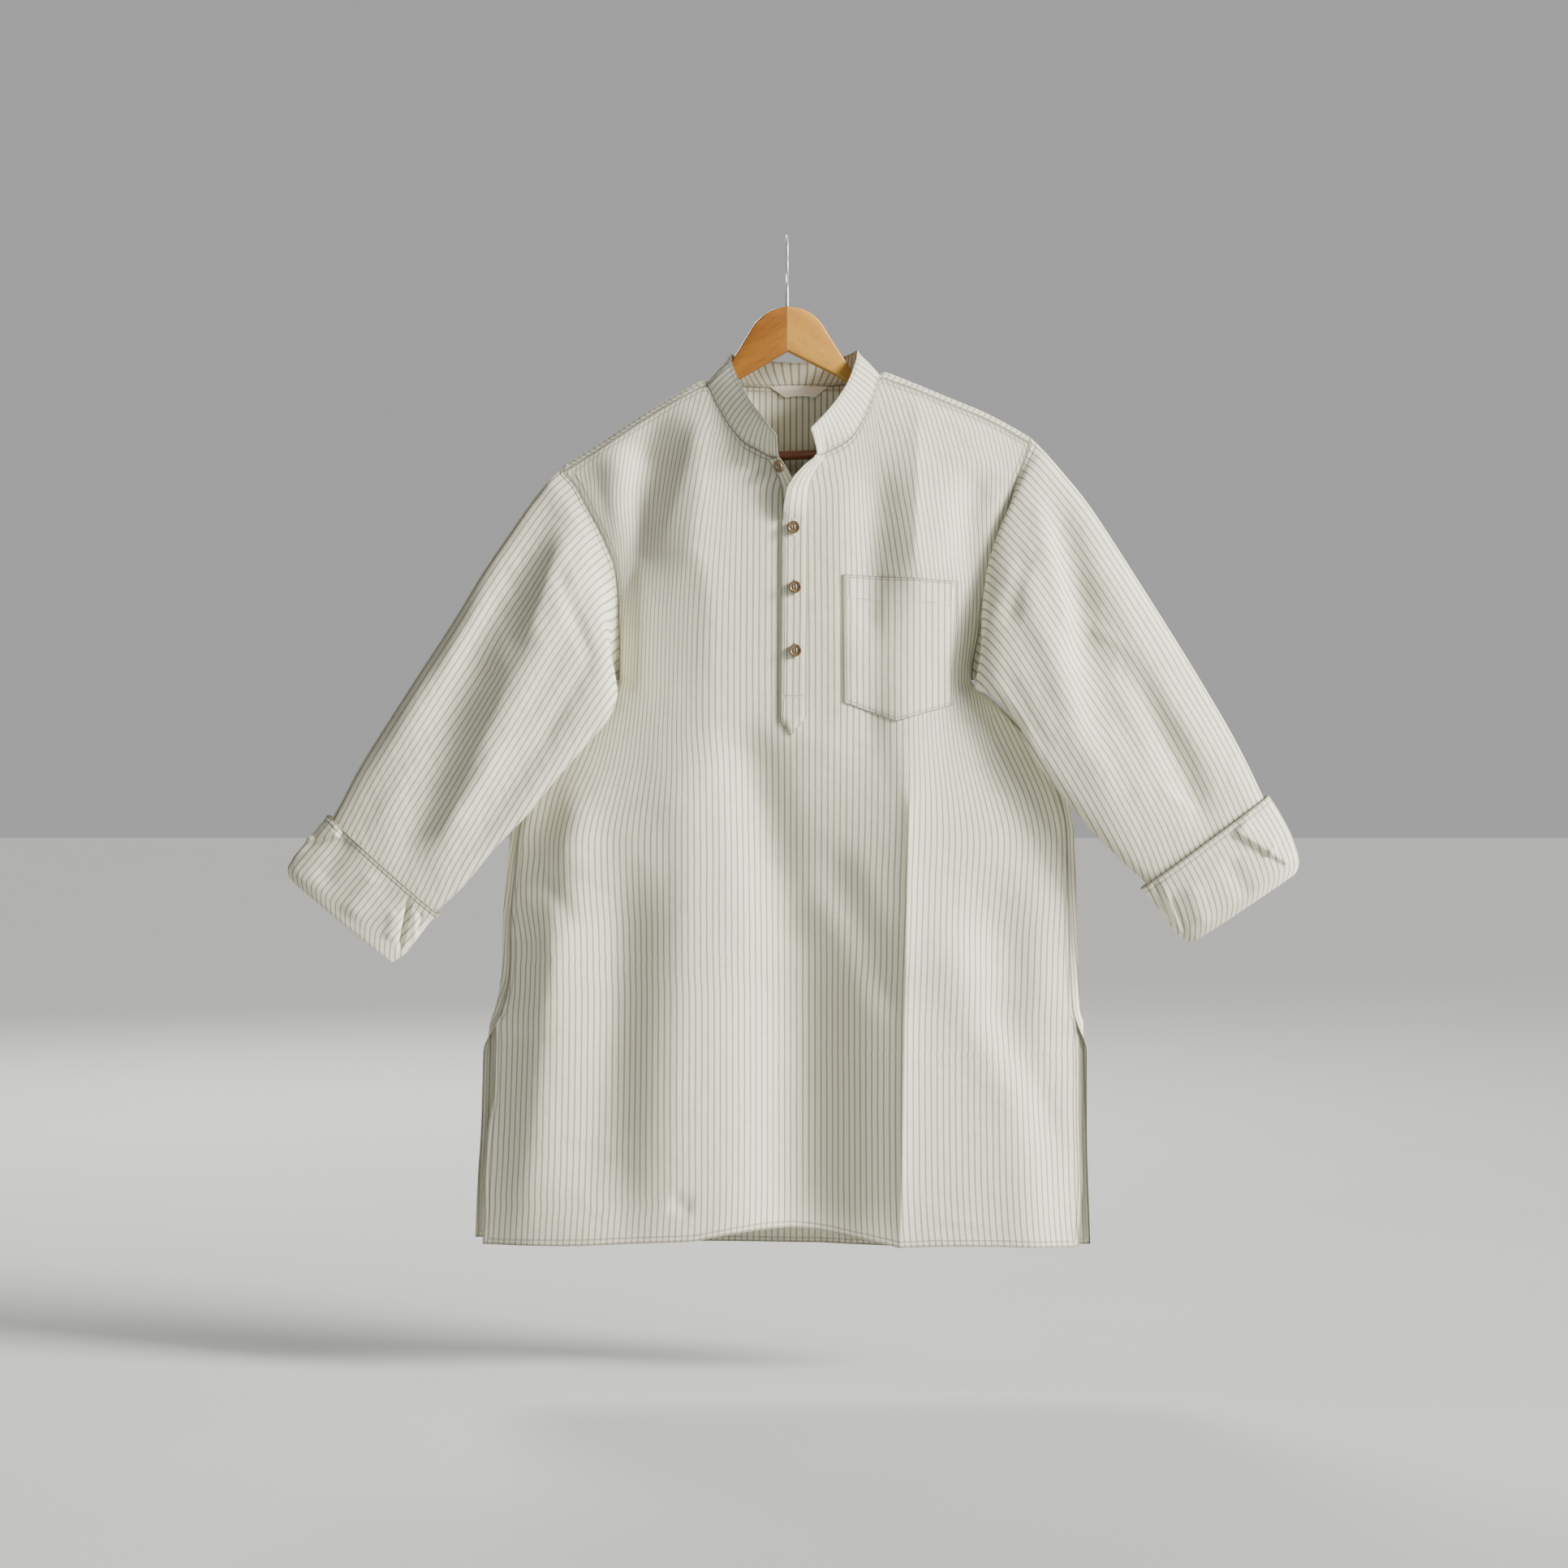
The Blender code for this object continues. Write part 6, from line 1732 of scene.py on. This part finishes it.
def rounded_section(half, low, high, corner, steps=5):
    """Points round a board's section, from its underside up one side and down the other."""
    points = []
    for y, z, start in ((half, high, 0), (-half, high, 90), (-half, low, 180), (half, low, 270)):
        cy = y - math.copysign(corner, y)
        cz = z - corner if z == high else z + corner
        for step in range(steps + 1):
            angle = math.radians(start + 90 * step / steps)
            points.append((cy + corner * math.cos(angle), cz + corner * math.sin(angle)))
    return points


def wooden_arm(name, side, look):
    """One arm of the hanger, with rounded edges and a blunt end at the middle joint."""
    stations = smooth(sorted(arm_stations(side), key=lambda s: abs(s[0])), 5)
    rings = []
    for x, top, under in stations:
        section = rounded_section(ARM_THICKNESS / 2, under, top, ARM_ROUNDING)
        rings.append([(x, arm_y(x) + y, z) for y, z in section])
    inner = np.array(rings[-1])
    centre = inner.mean(axis=0)
    for share, shift in ((0.9, 0.5), (0.7, 0.9)):
        rings.append(centre + (inner - centre) * share + np.array([side * shift, 0, 0]))
    return loft(name, rings, look)


def sew(garment, cloths, tree, thread):
    """All the topstitching, a piece for each cloth that carries it."""
    front, back = cloths["front"], cloths["back"]
    under, slit = garment.underarm, garment.side_slit
    lines = [front.line(HEM_LINE, 0)]
    for last in (False, True):
        lines += [front.line(SLIT_LINE, 1, last)[:slit + 1], front.line(EDGE_LINE, 1, last)[slit:under + 1]]
        lines += [front.line(SIDE_LINE, 1, last)[slit:under + 1], front.line(ARMHOLE_LINE, 1, last)[under:-2]]
    for distance in (EDGE_LINE, SHOULDER_LINE):
        top = front.line(distance, 0, True)
        lines += [top[:FINE * 6], top[-FINE * 8:]]
    front_seams = stitches("front_stitching", lines, tree, thread)
    lines = [back.line(HEM_LINE, 0)]
    for last in (False, True):
        lines += [back.line(SLIT_LINE, 1, last)[:slit + 1], back.line(ARMHOLE_LINE, 1, last)[under:-FINE * 3]]
    back_seams = stitches("back_stitching", lines, tree, thread)
    collar = cloths["collar"]
    lines = [collar.line(NECK_LINE, 0), collar.line(COLLAR_LINE, 0, True)]
    lines += [collar.line(COLLAR_LINE, 1), collar.line(COLLAR_LINE, 1, True)]
    collar_seams = stitches("collar_stitching", lines, tree, thread)
    placket = cloths["placket"]
    lines = [placket.line(PLACKET_LINE, 1)[3:], placket.line(PLACKET_LINE, 1, True)[3:]]
    box = placket.points[PLACKET_BOX_ROW] + placket.normals()[PLACKET_BOX_ROW] * STITCH_LIFT
    lines += [box[2:-2], placket.line(NECK_LINE, 0)[1:-1]]
    placket_seams = stitches("placket_stitching", lines, tree, thread)
    strip = cloths["strip"]
    strip_seams = stitches("strip_stitching", [strip.line(STRIP_LINE, 1, True)], tree, thread)
    pocket = cloths["pocket"]
    lines = [pocket.line(POCKET_LINE, 1), pocket.line(POCKET_LINE, 1, True)]
    lines += [pocket.line(POCKET_LINE, 0)[1:-1], pocket.line(POCKET_HEM, 0, True)[1:-1]]
    pocket_seams = stitches("pocket_stitching", lines, tree, thread)
    bars = [pocket.line(d, 1, last)[-11:-1] for last in (False, True) for d in CORNER_LINES]
    corner_bars = stitches("pocket_corner_bars", bars, tree, thread, BAR_STITCH)
    found = {"front": [front_seams], "back": [back_seams], "collar": [collar_seams],
             "placket": [placket_seams], "strip": [strip_seams], "pocket": [pocket_seams, corner_bars]}
    for key in ("left_cuff", "right_cuff"):
        cuff = cloths[key]
        lines = [cuff.line(distance, 0)[:-1] for distance in CUFF_LINES]
        found[key] = [stitches(key + "_stitching", lines, tree, thread)]
    for key in ("left_sleeve", "right_sleeve"):
        sleeve = cloths[key]
        found[key] = [stitches(key + "_stitching", [sleeve.line(EDGE_LINE, 1)[3:]], tree, thread)]
    return found


def buttonhole(name, x, z, surface, tree, thread):
    """A vertical buttonhole: two close rows of thread along a slit, closed by a bar at each end."""
    lines = []
    for shift in (-HOLE_SIDE, HOLE_SIDE):
        steps = np.linspace(-HOLE_HALF, HOLE_HALF, 14)
        lines.append([(x + shift, surface(x + shift, z + s), z + s) for s in steps])
    for end in (-HOLE_HALF, HOLE_HALF):
        lines.append([(x + s, surface(x + s, z + end), z + end) for s in (-HOLE_BAR, 0, HOLE_BAR)])
    return stitches(name, lines, tree, thread, HOLE_STITCH)


def fasten(placket, looks, tree):
    """Buttons, their thread and their buttonholes."""
    def surface(x, z):
        """Depth of the placket's face, read off its nearest row."""
        rows = placket.points
        line = rows[int(np.argmin(abs(rows[:, PLACKET_MIDDLE, 2] - z)))]
        return np.interp(x, line[:, 0], line[:, 1]) - HOLE_LIFT

    def sewn(name, place, facing):
        """One button and its thread, after the node that they stand for."""
        return name, *button(name + "_horn", place, facing, looks["horn"], looks["thread"])

    made = []
    for index, spot in enumerate(BUTTONS):
        y = front_y(spot.x, spot.z) - LAYER * 2 - WALL / 2 - BUTTON_REST
        made.append(sewn(f"button_{index + 2}", (spot.x, y, spot.z), (0, -1, 0)))
    place, facing = strip_place(TOP_BUTTON_SHARE, TOP_BUTTON_Z)
    made.append(sewn("button_1", place + facing * (WALL / 2 + BUTTON_REST + 0.1), facing))
    holes = []
    for index, spot in enumerate(BUTTONS):
        holes.append(buttonhole(f"buttonhole_{index + 2}", spot.x, spot.z, surface, tree, looks["thread"]))
    return made, holes


def dress():
    """Every cloth piece and button, with the solid it replaces and what is sewn on it."""
    looks = {"cotton": cotton_material(), "satin": satin_material(), "thread": thread_material(),
             "horn": horn_material()}
    garment = Garment()
    cloths = {"front": garment.front_cloth(), "back": garment.back_cloth(),
              "left_sleeve": sleeve_cloth(garment, True), "right_sleeve": sleeve_cloth(garment, False),
              "left_cuff": cuff_cloth(True), "right_cuff": cuff_cloth(False),
              "collar": collar_cloth(garment), "placket": placket_cloth(garment),
              "strip": under_strip_cloth(garment), "pocket": pocket_cloth(garment),
              "label": label_cloth(garment)}
    made = {key: cloth.build(looks["cotton"]) for key, cloth in cloths.items() if key != "label"}
    made["label"] = cloths["label"].build(looks["satin"], SATIN_THICKNESS, "satin")
    tree = stitch_tree()
    seams = sew(garment, cloths, tree, looks["thread"])
    buttons, holes = fasten(cloths["placket"], looks, tree)
    for node, shape, threads in buttons:
        thread = joined_pieces(node + "_thread", threads)
        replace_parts(shape, node)
        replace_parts(thread, node)
        seams["strip" if node == "button_1" else "placket"].extend([shape, thread])
    seams["placket"].extend(holes)
    nodes = {"front": "front_panel", "back": "back_panel", "left_sleeve": "left_sleeve",
             "right_sleeve": "right_sleeve", "left_cuff": "left_cuff", "right_cuff": "right_cuff",
             "collar": "collar_band", "placket": "upper_placket", "strip": "under_strip",
             "pocket": "chest_pocket", "label": "neck_label"}
    for key, node in nodes.items():
        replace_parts(made[key], node)
        for extra in seams.get(key, []):
            if "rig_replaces" not in extra.keys():
                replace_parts(extra, node)
    return made, seams


def build_hanger(looks):
    """The two arms, the trouser bar and the hook."""
    # Painted shade: the left arm wears a darker copy of the right arm's wood, for its face turned from the
    # light
    left = wooden_arm("left_arm_wood", -1, looks["shaded_left_wood"])
    right = wooden_arm("right_arm_wood", 1, looks["lit_right_wood"])
    inset = HEEL_STEP + SEAM_GAP
    ends = [bar_end(-1) + inset, bar_end(1) - inset]
    y = arm_y(ends[0]) * 0.85
    path = [(x, y, bar_height(x)) for x in np.linspace(ends[0], ends[1], 9)]
    # Painted shade: the bar's own redder brown is drawn darker, as it hangs in the shade of the arms
    bar = swept("bar_dowel", path, [BAR_DIAMETER / 2] * 9, looks["red_wood"], 36)
    path = smooth(np.array(hook_path()), 3)
    radii = np.where(path[:, 2] < STEM_TOP_Z - 1, 1.6, HOOK_WIRE / 2)
    wire = swept("hook_wire", path, radii, looks["steel"], 20)
    for made, node in ((left, "hanger_left_arm"), (right, "hanger_right_arm"), (bar, "trouser_bar"),
                       (wire, "hanger_hook")):
        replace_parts(made, node)


# The studio, in metres: floor, sky, sun and camera
FLOOR_Z = -1.16
FLOOR_REACH = 30
SKY_COLOUR = (0.80, 0.82, 0.80)
SKY_LIGHTING = 0.05
SKY_SEEN = 0.50
SUN_STRENGTH = 8.6
SUN_DEGREES = 16
SUN_PLACE = (3.6, -1.35, 1.2)
DAYLIGHT = (1.0, 0.975, 0.94)
BODY_MIDDLE = (0, 0, -0.55)
CAMERA_LENS = 67.7
CAMERA_PLACE = (-0.0033, -3.0, -0.556)


def build_stage():
    """A wide paper floor under the hem."""
    data = bpy.data.meshes.new("studio_floor")
    corners = [(x * FLOOR_REACH, y * FLOOR_REACH, FLOOR_Z) for x, y in ((-1, -1), (1, -1), (1, 1), (-1, 1))]
    data.from_pydata(corners, [], [(0, 1, 2, 3)])
    look = Nodes("studio_paper", 0.9)
    tone = look.noise(look.place(), 3.0, 2.0)
    data.materials.append(look.finish(look.blend(tone, (0.50, 0.51, 0.50), (0.53, 0.54, 0.53))))
    floor = in_scene("studio_floor", data)


def aim(made, target):
    """Turns a lamp toward a place."""
    made.rotation_mode = "QUATERNION"
    made.rotation_quaternion = (Vector(target) - made.location).to_track_quat("-Z", "Y")


def light(name, place, target, power, size, colour):
    """A round area lamp."""
    data = bpy.data.lights.new(name, "AREA")
    data.energy = power
    data.shape = "DISK"
    data.size = size
    data.color = colour
    made = in_scene(name, data)
    made.location = place
    aim(made, target)


def build_studio():
    """Floor, even sky, daylight from the right with a soft fill, and the photograph's camera."""
    build_stage()
    world = bpy.data.worlds.new("studio")
    bpy.context.scene.world = world
    world.use_nodes = True
    tree = world.node_tree
    back = tree.nodes["Background"]
    back.inputs["Color"].default_value = (*SKY_COLOUR, 1)
    seen = tree.nodes.new("ShaderNodeLightPath")
    strength = tree.nodes.new("ShaderNodeMapRange")
    strength.inputs["To Min"].default_value = SKY_LIGHTING
    strength.inputs["To Max"].default_value = SKY_SEEN
    tree.links.new(seen.outputs["Is Camera Ray"], strength.inputs["Value"])
    tree.links.new(strength.outputs["Result"], back.inputs["Strength"])
    data = bpy.data.lights.new("key", "SUN")
    data.energy = SUN_STRENGTH
    data.angle = math.radians(SUN_DEGREES)
    data.color = DAYLIGHT
    key = in_scene("key", data)
    key.location = SUN_PLACE
    aim(key, BODY_MIDDLE)
    light("side", (2.3, -1.5, 0.5), BODY_MIDDLE, 52, 1.0, DAYLIGHT)
    light("fill", (-0.2, -2.4, 1.3), (0, 0, -0.3), 6, 1.2, (0.97, 0.985, 1.0))
    light("back_light", (-1.2, 3.2, 1.6), BODY_MIDDLE, 150, 1.6, (1.0, 0.98, 0.95))
    data = bpy.data.cameras.new("photo_camera")
    data.sensor_width = 36
    data.lens = CAMERA_LENS
    data.clip_start = 0.05
    data.clip_end = 100
    made = in_scene("photo_camera", data)
    made.location = CAMERA_PLACE
    made.rotation_euler = (math.pi / 2, 0, 0)
    bpy.context.scene.camera = made


def declare(made, seams):
    """Goes through the table of cuts and lists each cut's sewn pieces, but keeps nothing."""
    for key, cut in CUTS.items():
        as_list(seams.get(key, []))


Cut = namedtuple("Cut", "width length area")

# Metres and square metres; tubes are given all the way round
CUTS = {"front": Cut(0.665, 0.920, 0.457), "back": Cut(0.665, 0.905, 0.477),
        "left_sleeve": Cut(0.47, 0.50, 0.155), "right_sleeve": Cut(0.47, 0.50, 0.160),
        "left_cuff": Cut(0.36, 0.09, 0.027), "right_cuff": Cut(0.36, 0.09, 0.029),
        "collar": Cut(0.46, 0.036, 0.0145), "placket": Cut(0.028, 0.29, 0.0081),
        "strip": Cut(0.022, 0.27, 0.0059), "pocket": Cut(0.121, 0.150, 0.0163),
        "label": Cut(0.060, 0.014, 0.00063)}

# Each wood: its pale, dark and deepest colour, and how far its grain leans
# The left arm's colours are the right arm's painted in shade, and the right arm's are the lit copy
WOODS = {"shaded_left_wood": ("wood_left", (0.43, 0.17, 0.018), (0.28, 0.092, 0.008), (0.13, 0.04, 0.006), 0.55),
         "lit_right_wood": ("wood_right", (0.57, 0.29, 0.042), (0.45, 0.20, 0.025), (0.28, 0.11, 0.015), -0.55),
         # The bar's wood has its own redder brown, made darker as painted shade
         "red_wood": ("wood_bar", (0.30, 0.095, 0.04), (0.19, 0.05, 0.02), (0.09, 0.025, 0.012), 0.0)}

made, seams = dress()
looks = {key: wood_material(*wood) for key, wood in WOODS.items()}
looks["steel"] = steel_material()
build_hanger(looks)
build_studio()
declare(made, seams)
